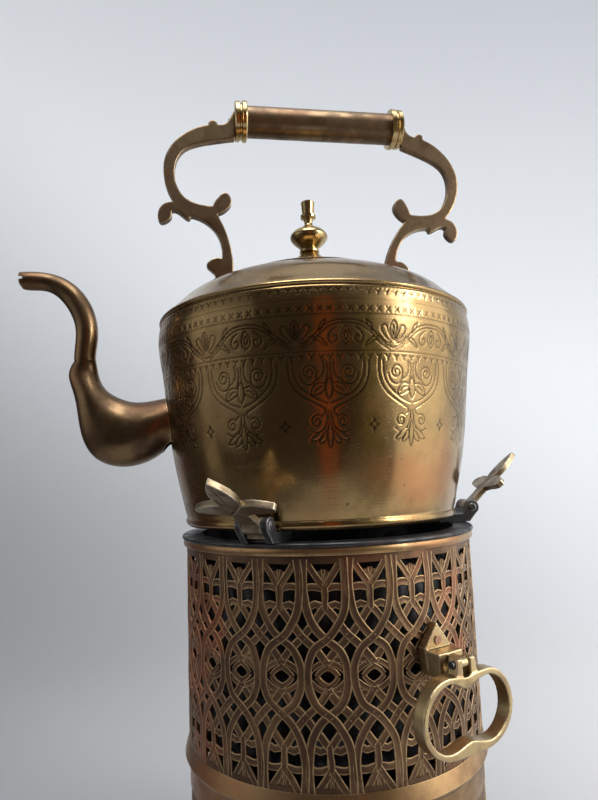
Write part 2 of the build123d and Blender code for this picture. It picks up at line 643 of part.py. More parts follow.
def hinge_leaf_kettle():
    """Leaf that follows the dome behind the lid, with the two outer knuckles."""
    third = HINGE_W / 3
    low = dome_points(SLIP)[-4:]
    high = dome_points(SLIP + LEAF_T)[-4:]
    edges = curve(*low) + line(low[-1], high[-1]) + curve(*high[::-1]) + line(high[0], low[0])
    band = turned(edges)
    strip = Pos(0, HINGE_Y + LEAF_LEN / 2 + 0.6, LID_Z) * Box(HINGE_W, LEAF_LEN, 80)
    leaf = band & strip
    for side in (-1, 1):
        x0 = side * third / 2 if side > 0 else -HINGE_W / 2
        block = Pos(x0 + third / 2, HINGE_Y + 1.6, HINGE_Z - 1.6) * Box(third, 3.2, 3.0)
        barrel_room = Cylinder(KNUCKLE_R - 0.3, third + 2)
        leaf += block - Pos(x0 + third / 2, HINGE_Y, HINGE_Z) * Rot(0, 90, 0) * barrel_room
        leaf += knuckle(x0, x0 + third)
    leaf -= dome_solid(SLIP)
    leaf -= Pos(0, HINGE_Y, HINGE_Z) * Rot(0, 90, 0) * Cylinder(KNUCKLE_R + SIDE, third)
    leaf -= Pos(0, HINGE_Y, HINGE_Z) * Rot(0, 90, 0) * Cylinder(HINGE_D / 2 + RUN, HINGE_W + 2)
    return KETTLE_AT * leaf


def hinge_pin():
    pin = Cylinder(HINGE_D / 2, HINGE_W)
    head = Cylinder(HINGE_D / 2 + 0.6, 0.8, align=(Align.CENTER, Align.CENTER, Align.MIN))
    pin += Pos(0, 0, HINGE_W / 2) * head
    pin += Rot(180, 0, 0) * Pos(0, 0, HINGE_W / 2) * head
    return KETTLE_AT * Pos(0, HINGE_Y, HINGE_Z) * Rot(0, 90, 0) * pin


# Spout: sections are reach beyond the body, height above the root, half height, half width and tilt

LOWER_SECTIONS = (
    (-20.0, 6.0, 20.5, 19.5, 0.0),
    (2.0, 4.0, 21.3, 19.5, 0.0),
    (21.5, -0.3, 24.3, 19.0, 8.0),
    (38.0, 5.0, 23.5, 16.5, 25.0),
    (48.5, 21.5, 15.0, 14.0, 45.0),
    (54.0, 38.0, 10.6, 10.3, 70.0),
    (54.8, 55.2, 7.9, 7.8, 90.0),
)
SPIGOT_SECTIONS = (
    (54.8, 53.0, 5.9, 5.8, 90.0),
    (54.5, 63.5, 5.9, 5.8, 91.0),
)
UPPER_SECTIONS = (
    (54.8, 55.5, 7.9, 7.8, 90.0),
    (53.9, 71.0, 8.0, 7.9, 92.0),
    (54.2, 83.0, 8.1, 8.0, 80.0),
    (60.3, 99.5, 8.2, 8.1, 55.0),
    (72.5, 112.5, 7.4, 7.3, 32.0),
    (88.0, 117.3, 7.0, 6.9, 4.0),
    (102.0, 118.0, 6.2, 6.1, -4.0),
)


def section_face(reach, rise, half_h, half_w, tilt):
    """Elliptical section square to a spout direction that climbs at the tilt angle."""
    a = math.radians(tilt)
    middle = (-BODY_R - reach, 0, SPOUT_Z + rise)
    plane = Plane(origin=middle, x_dir=(0, 1, 0), z_dir=(-math.cos(a), 0, math.sin(a)))
    return plane * Ellipse(half_w, half_h)


def onward(section, step):
    """The same section moved along its own direction."""
    reach, rise, half_h, half_w, tilt = section
    a = math.radians(tilt)
    return (reach + step * math.cos(a), rise + step * math.sin(a), half_h, half_w, tilt)


def spout_bore(sections, wall):
    """Bore inside the sections that runs out past both of their ends."""
    bores = [(r, z, hh - wall, hw - wall, t) for r, z, hh, hw, t in sections]
    bores[0] = onward(bores[0], -3.0)
    bores[-1] = onward(bores[-1], 3.0)
    return loft([section_face(*s) for s in bores])


def spout_lower():
    """Swelling elbow that necks in to a spigot inside the upper tube."""
    elbow = loft([section_face(*s) for s in LOWER_SECTIONS])
    spigot = loft([section_face(*s) for s in SPIGOT_SECTIONS])
    tube = elbow + spigot - spout_bore(LOWER_SECTIONS[:-1] + SPIGOT_SECTIONS, SPOUT_WALL)
    return KETTLE_AT * (tube - body_solid(-SLIP))


def spout_upper():
    """Curved tube with its mouth slit into a beak."""
    tube = loft([section_face(*s) for s in UPPER_SECTIONS]) - spout_bore(UPPER_SECTIONS, 1.0)
    tip = -BODY_R - 110.0
    corners = ((tip + 16, SPOUT_Z + 118.5), (tip, SPOUT_Z + 121), (tip, SPOUT_Z + 115.5))
    slit = Plane.XZ * Polyline(*corners, close=True)
    return KETTLE_AT * (tube - extrude(make_face(slit), amount=20, both=True))


# Handle

def arm_outline():
    """Upright S-scroll arm as reach and rise from its foot."""
    top = [(-12.0, 137.0), (-1.5, 134.8), (3.8, 123.2), (12.0, 119.0)]
    nub = [(12.0, 119.0), (14.0, 122.0), (18.0, 121.4), (19.0, 117.6)]
    bow = [(19.0, 117.6), (39.3, 105.7), (50.5, 87.0), (51.0, 72.0), (46.8, 57.8), (40.8, 48.3)]
    scroll_top = [(40.8, 48.3), (47.7, 46.6), (52.2, 38.5), (49.5, 30.0), (44.3, 31.9), (42.1, 40.0)]
    shelf = [(42.1, 40.0), (35.0, 39.0), (27.5, 35.5), (26.5, 38.0)]
    calf = [(26.5, 38.0), (15.4, 34.7), (6.8, 28.0), (1.0, 17.0), (-0.4, 6.1)]
    heel = [(-0.4, 6.1), (6.0, 5.6), (11.2, -1.0), (5.0, -6.5), (6.0, -14.0)]
    sole = [(6.0, -14.0), (7.0, -30.0), (-12.0, -30.0), (-10.5, -14.0)]
    shin = [(-10.5, -14.0), (-10.3, -3.0), (-6.3, 17.7), (-0.5, 31.5), (6.1, 42.6)]
    leaf = [(6.1, 42.6), (-1.5, 47.5), (-4.4, 55.0), (0.8, 61.6), (6.5, 57.0), (10.0, 48.8)]
    inside = [(10.0, 48.8), (20.8, 49.2), (32.2, 53.2), (40.4, 64.4), (42.4, 77.0)]
    inside += [(37.5, 92.0), (24.7, 100.1), (6.0, 106.0), (-3.7, 108.5), (-12.0, 109.0)]
    end = [(-12.0, 109.0), (-12.0, 137.0)]
    stretch = GRIP_RISE / 124.5
    edges = []
    for part in (top, nub, bow, scroll_top, shelf, calf, heel, shin, leaf, inside):
        edges += curve(*[(reach, rise * stretch) for reach, rise in part])
    for part in (sole, end):
        edges += line(*[(reach, rise * stretch) for reach, rise in part])
    return make_face(Wire(edges))


def handle_arm(side):
    """Cast arm, swayed with its twin away from the spout and trimmed at its collar and at the dome."""
    arm = extrude(arm_outline(), amount=ARM_T / 2, both=True)
    if side < 0:
        arm = arm.mirror(Plane.YZ)
    arm = Pos(side * ARM_FOOT_X, 0, ARM_FOOT_Z) * Rot(0, SWAY_DEG, 0) * arm
    face = GRIP_X + side * (GRIP_LEN / 2 + COLLAR_T)
    arm -= Pos(face - side * 50, 0, GRIP_Z) * Box(100, 4 * ARM_T, 60)
    arm -= dome_solid(SLIP)
    bore = Cylinder(ROD_D / 2 * 0.6 + RUN, GRIP_LEN + 2 * COLLAR_T + 12)
    rod = Pos(GRIP_X, 0, GRIP_Z) * Rot(0, 90, 0) * bore
    return KETTLE_AT * (arm - rod)


def handle_collar(side):
    """Pair of turned flanges with a groove between them, bored for the tie rod."""
    r = COLLAR_R
    t = COLLAR_T / 10
    bore = ROD_D / 2 * 0.6 + RUN
    edges = line((bore, 0), (r - 0.6, 0), (r, 0.8 * t), (r, 3.4 * t), (r - 1.8, 4.4 * t), (r - 1.8, 5.4 * t))
    edges += line((r - 1.8, 5.4 * t), (r - 0.4, 6.2 * t), (r - 0.4, 9.0 * t), (r - 1.4, COLLAR_T))
    edges += line((r - 1.4, COLLAR_T), (bore, COLLAR_T), (bore, 0))
    collar = Rot(0, 90, 0) * turned(edges)
    if side < 0:
        collar = collar.mirror(Plane.YZ)
    return KETTLE_AT * Pos(GRIP_X + side * GRIP_LEN / 2, 0, GRIP_Z) * collar


def handle_grip():
    tube = Cylinder(GRIP_D / 2, GRIP_LEN) - Cylinder(GRIP_D / 2 - GRIP_WALL, GRIP_LEN)
    return KETTLE_AT * Pos(GRIP_X, 0, GRIP_Z) * Rot(0, 90, 0) * tube


def handle_rod():
    """Tie rod through the grip and both collars into the arms."""
    thin = ROD_D / 2 * 0.6
    rod = Cylinder(ROD_D / 2, GRIP_LEN) + Cylinder(thin, GRIP_LEN + 2 * COLLAR_T + 10)
    return KETTLE_AT * Pos(GRIP_X, 0, GRIP_Z) * Rot(0, 90, 0) * rod


def main():
    nodes = {
        "base_plate": base_plate(),
        "base_ring": base_ring(),
        "drum_lower": pierced(LOWER_DRUM_R, LOWER_Z, LOWER_DRUM_H, lower_rows()),
        "mid_bead": mid_bead(),
        "drum_upper": drum_upper(),
        "rim_band": rim_band(),
        "fire_pot": fire_pot(),
        "fire_grate": fire_grate(),
        "kettle_body": kettle_body(),
        "kettle_foot": kettle_foot(),
        "kettle_shoulder": kettle_shoulder(),
        "lid": lid(),
        "knob": knob(),
        "knob_nut": knob_nut(),
        "hinge_leaf_lid": hinge_leaf_lid(),
        "hinge_leaf_kettle": hinge_leaf_kettle(),
        "hinge_pin": hinge_pin(),
        "spout_lower": spout_lower(),
        "spout_upper": spout_upper(),
        "handle_arm_spout": handle_arm(-1),
        "handle_arm_rear": handle_arm(1),
        "handle_collar_spout": handle_collar(-1),
        "handle_collar_rear": handle_collar(1),
        "handle_grip": handle_grip(),
        "handle_rod": handle_rod(),
    }
    for k in range(SUPPORTS):
        nodes[f"support_bracket_{k + 1}"] = support_bracket(k)
        nodes[f"support_arm_{k + 1}"] = support_arm(k)
        nodes[f"support_pin_{k + 1}"] = support_pin(k)
    for k in range(RINGS):
        nodes[f"ring_bracket_{k + 1}"] = ring_bracket(k)
        nodes[f"ring_handle_{k + 1}"] = ring_handle(k)
        nodes[f"ring_pin_{k + 1}"] = ring_pin(k)
        nodes[f"ring_rivet_{k + 1}"] = ring_rivet(k)
    for name, shape in nodes.items():
        solids = shape.solids()
        print(name, len(solids), [round(s.volume) for s in solids], shape.is_valid)
        export_step(shape, f"parts/{name}.step")


main()
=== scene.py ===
"""Brass kettle on its pierced brazier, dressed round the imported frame."""

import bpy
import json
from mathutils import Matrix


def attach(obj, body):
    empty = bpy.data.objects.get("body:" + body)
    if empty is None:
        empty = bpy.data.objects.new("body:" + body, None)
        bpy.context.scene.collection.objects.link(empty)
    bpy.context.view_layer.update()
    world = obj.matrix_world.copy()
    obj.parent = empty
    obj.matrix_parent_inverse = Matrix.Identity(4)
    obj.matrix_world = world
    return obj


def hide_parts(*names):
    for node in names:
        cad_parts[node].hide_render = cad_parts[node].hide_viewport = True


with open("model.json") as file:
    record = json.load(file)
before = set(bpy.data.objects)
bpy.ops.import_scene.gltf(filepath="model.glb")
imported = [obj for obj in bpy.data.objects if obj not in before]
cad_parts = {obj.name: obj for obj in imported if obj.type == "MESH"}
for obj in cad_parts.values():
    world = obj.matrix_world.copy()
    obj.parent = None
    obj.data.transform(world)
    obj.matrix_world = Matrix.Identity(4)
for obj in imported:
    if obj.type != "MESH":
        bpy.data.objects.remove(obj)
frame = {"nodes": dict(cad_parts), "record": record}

import json
import logging
import math
from dataclasses import dataclass, field, replace
from enum import Enum
from typing import Iterable, Optional, Union

import bpy
import numpy as np
from mathutils import Matrix, Vector

LOG = logging.getLogger("kettle")
MM = 0.001
Colour = tuple[float, float, float]
Place = tuple[float, float, float]
Flat = tuple[float, float]
Line = list[Flat]
Socket = bpy.types.NodeSocket
Feed = Union[bpy.types.NodeSocket, float, Colour]


class Wear(Enum):
    """Where a metal's high places have been rubbed bright."""

    EDGES = "edges"
    # With RELIEF the hollows of the relief are also darkened with painted shade.
    RELIEF = "relief"


# Shader graphs


class Graph:
    """Short-hand for adding and joining nodes in one node tree."""

    def __init__(self, tree: bpy.types.NodeTree) -> None:
        """Empties the node tree that is to be filled."""
        self.tree = tree
        tree.nodes.clear()

    def add(self, kind: str, **settings: object) -> bpy.types.Node:
        """Adds a node.

        Args:
            kind: Blender's node type, without its ShaderNode prefix.
            **settings: Properties to set on the node.

        Returns:
            The new node.
        """
        prefix = "" if kind.startswith("Node") else "ShaderNode"
        node = self.tree.nodes.new(prefix + kind)
        for key, value in settings.items():
            setattr(node, key, value)
        return node

    def feed(self, socket: Socket, value: Feed) -> None:
        """Joins a socket to another, or sets it to a plain value.

        Args:
            socket: The input to feed.
            value: A socket, a number, a vector or a colour.
        """
        if isinstance(value, Socket):
            self.tree.links.new(value, socket)
        elif socket.type == "RGBA":
            socket.default_value = (*value, 1.0)
        else:
            socket.default_value = value

    def math(self, operation: str, a: Feed, b: Feed = 0.0, clamp: bool = False) -> Socket:
        """Adds one arithmetic node.

        Args:
            operation: Blender's name of the operation.
            a: First operand.
            b: Second operand.
            clamp: Whether the result is held between 0 and 1.

        Returns:
            The result's socket.
        """
        node = self.add("Math", operation=operation, use_clamp=clamp)
        self.feed(node.inputs[0], a)
        self.feed(node.inputs[1], b)
        return node.outputs[0]

    def times(self, a: Feed, b: Feed) -> Socket:
        """Product of two values."""
        return self.math("MULTIPLY", a, b)

    def plus(self, a: Feed, b: Feed) -> Socket:
        """Sum of two values."""
        return self.math("ADD", a, b)

    def vector(self, operation: str, a: Socket, b: Socket) -> bpy.types.Node:
        """Adds one vector node and returns it."""
        node = self.add("VectorMath", operation=operation)
        self.feed(node.inputs[0], a)
        self.feed(node.inputs[1], b)
        return node

    def span(self, value: Feed, low: float, high: float, out_low: float = 0.0,
             out_high: float = 1.0) -> Socket:
        """Eases a value from one range to another.

        Args:
            value: The value to map.
            low: Where the result starts to change.
            high: Where it stops.
            out_low: Result at or below low.
            out_high: Result at or above high.

        Returns:
            The mapped value's socket.
        """
        node = self.add("MapRange", interpolation_type="SMOOTHSTEP")
        for socket, number in zip(node.inputs[1:5], (low, high, out_low, out_high)):
            socket.default_value = number
        self.feed(node.inputs[0], value)
        return node.outputs[0]

    def mix(self, factor: Feed, a: Feed, b: Feed, blend: str = "MIX") -> Socket:
        """Mixes two colours.

        Args:
            factor: Share of the second colour.
            a: First colour.
            b: Second colour.
            blend: Blender's blend type.

        Returns:
            The mixed colour's socket.
        """
        node = self.add("Mix", data_type="RGBA", blend_type=blend)
        self.feed(node.inputs[0], factor)
        self.feed(node.inputs[6], a)
        self.feed(node.inputs[7], b)
        return node.outputs[2]

    def noise(self, scale: Feed, detail: float = 3.0, rough: float = 0.55,
              at: Optional[Socket] = None) -> Socket:
        """Adds smooth noise.

        Args:
            scale: Cells per metre.
            detail: Number of finer layers.
            rough: Strength of the finer layers.
            at: Where it is read, or None for the object's own space.

        Returns:
            The noise value's socket.
        """
        node = self.add("TexNoise")
        self.feed(node.inputs["Vector"], self.place() if at is None else at)
        self.feed(node.inputs["Scale"], scale)
        node.inputs["Detail"].default_value = detail
        node.inputs["Roughness"].default_value = rough
        return node.outputs[0]

    def place(self) -> Socket:
        """Position in the object's own space."""
        return self.add("TexCoord").outputs["Object"]


def surface(name: str, kind: str = "BsdfPrincipled"
            ) -> tuple[bpy.types.Material, Graph, bpy.types.Node]:
    """Starts a material with one shader joined to its output.

    Args:
        name: The material's name.
        kind: The shader's node type.

    Returns:
        The material, its graph and its shader.
    """
    material = bpy.data.materials.new(name)
    material.use_nodes = True
    graph = Graph(material.node_tree)
    shader = graph.add(kind)
    graph.feed(graph.add("OutputMaterial").inputs[0], shader.outputs[0])
    return material, graph, shader


def placed(name: str, data: bpy.types.ID) -> bpy.types.Object:
    """Makes an object of a mesh, lamp or camera and links it to the scene."""
    piece = bpy.data.objects.new(name, data)
    bpy.context.scene.collection.objects.link(piece)
    return piece


class Effects:
    """Shader node groups that several finishes share, each built once."""

    def __init__(self) -> None:
        """Builds every group."""
        self.tarnish = self._tarnish()
        self.rubbed = self._rubbed()
        self.tooling = self._tooling()

    def _group(self, name: str, ins: dict[str, Feed],
               outs: dict[str, str]) -> tuple[Graph, dict[str, Socket], bpy.types.Node]:
        """Starts a group.

        Args:
            name: The group's name.
            ins: Each input's name and default.
            outs: Each output's name and socket type.

        Returns:
            The graph, its input sockets by name, and its output node.
        """
        tree = bpy.data.node_groups.new(name, "ShaderNodeTree")
        for key, value in ins.items():
            kind = "NodeSocketColor" if isinstance(value, tuple) else "NodeSocketFloat"
            socket = tree.interface.new_socket(key, in_out="INPUT", socket_type=kind)
            socket.default_value = (*value, 1.0) if isinstance(value, tuple) else value
        for key, kind in outs.items():
            tree.interface.new_socket(key, in_out="OUTPUT", socket_type=kind)
        graph = Graph(tree)
        source = graph.add("NodeGroupInput")
        return graph, {key: source.outputs[key] for key in ins}, graph.add("NodeGroupOutput")

    def _tarnish(self) -> bpy.types.NodeTree:
        """Clouded oxide: clean metal, brown film and a few dark spots."""
        ins = {"Clean": (0.5, 0.4, 0.2), "Film": (0.3, 0.2, 0.1), "Warm": (0.4, 0.2, 0.1),
               "Size": 30.0, "Amount": 0.5}
        outs = {"Colour": "NodeSocketColor", "Mask": "NodeSocketFloat"}
        graph, get, out = self._group("Tarnish", ins, outs)
        cloud = graph.noise(get["Size"], 5.0, 0.6)
        shift = graph.math("SUBTRACT", graph.times(get["Amount"], 0.5), 0.25)
        film = graph.span(graph.plus(cloud, shift), 0.38, 0.66)
        warm = graph.span(graph.noise(graph.times(get["Size"], 0.45), 2.0), 0.52, 0.68)
        spot = graph.span(graph.noise(graph.times(get["Size"], 9.0), 2.0), 0.68, 0.76)
        colour = graph.mix(film, get["Clean"], get["Film"])
        colour = graph.mix(graph.times(warm, 0.6), colour, get["Warm"])
        colour = graph.mix(graph.times(spot, 0.5), colour, (0.05, 0.035, 0.02))
        graph.feed(out.inputs["Colour"], colour)
        graph.feed(out.inputs["Mask"], graph.math("MAXIMUM", film, spot))
        return graph.tree

    def _rubbed(self) -> bpy.types.NodeTree:
        """Bright rubbed edges, broken up by a fine noise."""
        ins = {"Radius": 0.0012, "Amount": 1.0}
        graph, get, out = self._group("Rubbed edges", ins, {"Mask": "NodeSocketFloat"})
        round_normal = graph.add("Bevel", samples=4)
        graph.feed(round_normal.inputs["Radius"], get["Radius"])
        plain = graph.add("NewGeometry").outputs["Normal"]
        match = graph.vector("DOT_PRODUCT", round_normal.outputs[0], plain).outputs["Value"]
        edge = graph.span(graph.math("SUBTRACT", 1.0, match), 0.01, 0.16)
        broken = graph.span(graph.noise(420.0, 3.0), 0.3, 0.6, 0.35, 1.0)
        mask = graph.math("MULTIPLY", graph.times(edge, broken), get["Amount"], clamp=True)
        graph.feed(out.inputs["Mask"], mask)
        return graph.tree

    def _tooling(self) -> bpy.types.NodeTree:
        """Heights, in metres, of turning marks, casting grain, dents and hair scratches."""
        ins = {"Turned": 0.00001, "Cast": 0.00002, "Dents": 0.0, "Scratches": 0.00001}
        outs = {"Height": "NodeSocketFloat", "Scratch": "NodeSocketFloat"}
        graph, get, out = self._group("Tool marks", ins, outs)
        split = graph.add("SeparateXYZ")
        graph.feed(split.inputs[0], graph.place())
        x, y, z = split.outputs
        square = graph.plus(graph.times(x, x), graph.times(y, y))
        radius = graph.math("SQRT", square)
        join = graph.add("CombineXYZ")
        graph.feed(join.inputs[0], graph.times(graph.plus(radius, z), 900.0))
        graph.feed(join.inputs[1], graph.times(x, 14.0))
        graph.feed(join.inputs[2], graph.times(y, 14.0))
        turned = graph.noise(1.0, 3.0, 0.6, join.outputs[0])
        cast = graph.noise(900.0, 4.0, 0.65)
        dents = graph.noise(34.0, 1.0, 0.4)
        long = graph.add("Mapping")
        long.inputs["Scale"].default_value = (260.0, 260.0, 2600.0)
        long.inputs["Rotation"].default_value = (0.5, 0.9, 0.3)
        graph.feed(long.inputs[0], graph.place())
        scratch = graph.span(graph.noise(1.0, 2.0, 0.5, long.outputs[0]), 0.66, 0.74)
        height = graph.times(turned, get["Turned"])
        height = graph.plus(height, graph.times(cast, get["Cast"]))
        height = graph.plus(height, graph.times(dents, get["Dents"]))
        height = graph.math("SUBTRACT", height, graph.times(scratch, get["Scratches"]))
        graph.feed(out.inputs["Height"], height)
        graph.feed(out.inputs["Scratch"], scratch)
        return graph.tree


# Near-black colour painted into the hollows of the relief as painted shade.
HOLLOW_SHADE = (0.03, 0.022, 0.014)


@dataclass(frozen=True)
class MetalFinish:
    """A worn metal and how it has aged.

    Attributes:
        name: The material's name.
        clean: Colour of clean metal.
        film: Colour under the brown film.
        warm: Colour of the reddish patches.
        worn: Colour of rubbed high places.
        shine: Roughness of clean metal.
        dull: Roughness under the film.
        size: Clouds of film per metre.
        amount: How much of the surface the film covers.
        wear: Where it is rubbed bright, and whether the hollows of its relief get painted shade.
        rub: Strength of the rubbing.
        turned: Depth of turning marks in metres.
        cast: Depth of casting grain in metres.
        dents: Depth of dents in metres.
    """

    name: str
    clean: Colour
    film: Colour
    warm: Colour
    worn: Colour
    shine: float = 0.24
    dull: float = 0.42
    size: float = 30.0
    amount: float = 0.5
    wear: Wear = Wear.EDGES
    rub: float = 0.8
    turned: float = 0.000008
    cast: float = 0.000006
    dents: float = 0.0

    def build(self, effects: Effects) -> bpy.types.Material:
        """Makes the material with the shared shader groups."""
        material, graph, shader = surface(self.name)
        tarnish = graph.add("Group", node_tree=effects.tarnish)
        film = {"Clean": self.clean, "Film": self.film, "Warm": self.warm, "Size": self.size,
                "Amount": self.amount}
        for key, value in film.items():
            graph.feed(tarnish.inputs[key], value)
        colour = tarnish.outputs["Colour"]
        rough = graph.span(tarnish.outputs["Mask"], 0.0, 1.0, self.shine, self.dull)
        if self.wear is Wear.RELIEF:
            relief = graph.add("Attribute", attribute_name="relief").outputs["Fac"]
            hollow = graph.span(relief, 0.0, 0.5, 1.0, 0.0)
            # Painted shade: the relief's hollows (engraved lines, the sides and grooves of the
            # lattice's strands, the creases of castings) are darkened towards a near-black colour.
            colour = graph.mix(graph.times(hollow, 0.86), colour, HOLLOW_SHADE)
            broken = graph.span(graph.noise(260.0, 3.0), 0.3, 0.62, 0.4, 1.0)
            ridge = graph.times(graph.span(relief, 0.55, 1.0), broken)
            mask = graph.times(ridge, self.rub)
        else:
            rubbed = graph.add("Group", node_tree=effects.rubbed)
            rubbed.inputs["Amount"].default_value = self.rub
            mask = rubbed.outputs["Mask"]
        colour = graph.mix(mask, colour, self.worn)
        rough = graph.plus(rough, graph.times(mask, -0.08))
        tools = graph.add("Group", node_tree=effects.tooling)
        for key, value in (("Turned", self.turned), ("Cast", self.cast), ("Dents", self.dents)):
            tools.inputs[key].default_value = value
        rough = graph.plus(rough, graph.times(tools.outputs["Scratch"], 0.08))
        bump = graph.add("Bump")
        bump.inputs["Distance"].default_value = 1.0
        graph.feed(bump.inputs["Height"], tools.outputs["Height"])
        graph.feed(shader.inputs["Base Color"], colour)
        graph.feed(shader.inputs["Roughness"], rough)
        graph.feed(shader.inputs["Normal"], bump.outputs[0])
        shader.inputs["Metallic"].default_value = 1.0
        return material


KETTLE = MetalFinish(
    "Kettle brass", clean=(0.35, 0.235, 0.105), film=(0.18, 0.12, 0.055), warm=(0.3, 0.12, 0.05),
    worn=(0.56, 0.42, 0.21), shine=0.17, dull=0.3, size=22.0, dents=0.0005, turned=0.000016)
SUPPORT = MetalFinish(
    "Support brass", clean=(0.26, 0.205, 0.13), film=(0.13, 0.1, 0.066), warm=(0.18, 0.11, 0.065),
    worn=(0.6, 0.53, 0.41), shine=0.34, dull=0.52, size=90.0, rub=0.9, cast=0.00003)
RING = MetalFinish(
    "Ring brass", clean=(0.4, 0.3, 0.155), film=(0.2, 0.14, 0.075), warm=(0.28, 0.16, 0.08),
    worn=(0.68, 0.57, 0.37), shine=0.33, dull=0.48, size=60.0, amount=0.4, cast=0.00002)
IRON = MetalFinish(
    "Blackened iron", clean=(0.06, 0.06, 0.065), film=(0.03, 0.029, 0.03), warm=(0.05, 0.04, 0.03),
    worn=(0.36, 0.36, 0.37), shine=0.38, dull=0.58, size=70.0, rub=0.6, cast=0.00004)
HANDLE = MetalFinish(
    "Handle brass", clean=(0.215, 0.15, 0.084), film=(0.1, 0.066, 0.04), warm=(0.15, 0.08, 0.046),
    worn=(0.44, 0.34, 0.22), shine=0.3, dull=0.44, size=55.0, amount=0.6, cast=0.00002)
BRAZIER = MetalFinish(
    "Brazier brass", clean=(0.17, 0.1, 0.056), film=(0.078, 0.046, 0.03), warm=(0.27, 0.085, 0.045),
    worn=(0.58, 0.41, 0.21), shine=0.38, dull=0.56, size=34.0, amount=0.6, rub=0.55, cast=0.00003)
BRIGHT = MetalFinish(
    "Bright turned brass", clean=(0.46, 0.345, 0.165), film=(0.28, 0.195, 0.095),
    warm=(0.34, 0.21, 0.1), worn=(0.68, 0.56, 0.34), shine=0.2, dull=0.34, size=60.0, amount=0.3,
    turned=0.00001)
SPOUT = MetalFinish(
    "Spout brass", clean=(0.195, 0.125, 0.064), film=(0.085, 0.053, 0.031),
    warm=(0.15, 0.07, 0.036), worn=(0.44, 0.33, 0.2), shine=0.26, dull=0.42, size=38.0, amount=0.55,
    dents=0.0003)
BEAD = MetalFinish(
    "Bead brass", clean=(0.34, 0.21, 0.1), film=(0.16, 0.095, 0.05), warm=(0.28, 0.12, 0.055),
    worn=(0.6, 0.45, 0.24), shine=0.32, dull=0.46, size=40.0, turned=0.00002)
RIVET = MetalFinish(
    "Copper rivet", clean=(0.27, 0.15, 0.1), film=(0.18, 0.1, 0.07), warm=(0.24, 0.12, 0.08),
    worn=(0.42, 0.28, 0.2), shine=0.36, dull=0.48, size=120.0, amount=0.4, cast=0.00003)

FINISHES = {
    "kettle_brass": KETTLE,
    "engraved_brass": replace(KETTLE, name="Engraved brass", wear=Wear.RELIEF, rub=0.35),
    "bright_brass": BRIGHT,
    "handle_brass": HANDLE,
    "cast_brass": replace(HANDLE, name="Cast handle brass", wear=Wear.RELIEF, rub=0.7),
    "spout_brass": SPOUT,
    "brazier_brass": BRAZIER,
    "lattice_brass": replace(BRAZIER, name="Lattice brass", wear=Wear.RELIEF),
    "bead_brass": BEAD,
    "iron": IRON,
    "worn_iron": replace(IRON, name="Worn iron", wear=Wear.RELIEF),
    "support_brass": SUPPORT,
    "worn_support": replace(SUPPORT, name="Worn support brass", wear=Wear.RELIEF),
    "ring_brass": RING,
    "worn_ring": replace(RING, name="Worn ring brass", wear=Wear.RELIEF, rub=0.6),
    "copper_rivet": RIVET,
}


class Palette:
    """All finishes as Blender materials, and how they are put on."""

    def __init__(self, record: dict) -> None:
        """Builds the materials and takes each node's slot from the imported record."""
        effects = Effects()
        self.materials = {key: finish.build(effects) for key, finish in FINISHES.items()}
        self.node_slot = {part["node"]: part["material_slot"] for part in record["subparts"]}

    def dress(self, piece: bpy.types.Object, finish: str) -> None:
        """Gives a piece one finish all over."""
        piece.data.materials.clear()
        piece.data.materials.append(self.materials[finish])

    def dress_nodes(self, nodes: dict[str, bpy.types.Object]) -> None:
        """Gives every CAD node the finish of its own slot."""
        for name, piece in nodes.items():
            self.dress(piece, self.node_slot[name])


# Curves and meshes, in millimetres until the object is made


def through(points: Line, step: float) -> np.ndarray:
    """Points of a smooth curve that passes through the given ones.

    Args:
        points: Two or more points.
        step: Greatest distance between the points returned.

    Returns:
        The curve's points, ends included.
    """
    p = np.asarray(points, float)
    t = np.r_[0.0, np.cumsum(np.linalg.norm(np.diff(p, axis=0), axis=1))]
    s = np.linspace(0.0, t[-1], max(2, math.ceil(t[-1] / step) + 1))
    h = np.diff(t)
    n = len(p)
    a = np.eye(n)
    b = np.zeros_like(p)
    for i in range(1, n - 1):
        a[i, i - 1:i + 2] = h[i - 1], 2 * (h[i - 1] + h[i]), h[i]
        b[i] = 3 * ((p[i + 1] - p[i]) / h[i] - (p[i] - p[i - 1]) / h[i - 1])
    c = np.linalg.solve(a, b)
    k = np.clip(np.searchsorted(t, s, side="right") - 1, 0, n - 2)
    d = (s - t[k])[:, None]
    hk = h[k][:, None]
    slope = (p[k + 1] - p[k]) / hk - hk * (2 * c[k] + c[k + 1]) / 3
    return p[k] + d * (slope + d * (c[k] + d * (c[k + 1] - c[k]) / (3 * hk)))


def grid_faces(rows: int, cols: int, wrap_rows: bool, wrap_cols: bool) -> np.ndarray:
    """Quads of a grid of vertices.

    Args:
        rows: Number of rows.
        cols: Number of vertices in a row.
        wrap_rows: Whether the last row joins the first.
        wrap_cols: Whether each row is closed.

    Returns:
        An array of four vertex numbers per face.
    """
    first_rows = np.arange(rows if wrap_rows else rows - 1)
    first_cols = np.arange(cols if wrap_cols else cols - 1)
    i, j = np.meshgrid(first_rows, first_cols, indexing="ij")
    i2 = (i + 1) % rows
    j2 = (j + 1) % cols
    return np.stack([i * cols + j, i * cols + j2, i2 * cols + j2, i2 * cols + j], -1).reshape(-1, 4)


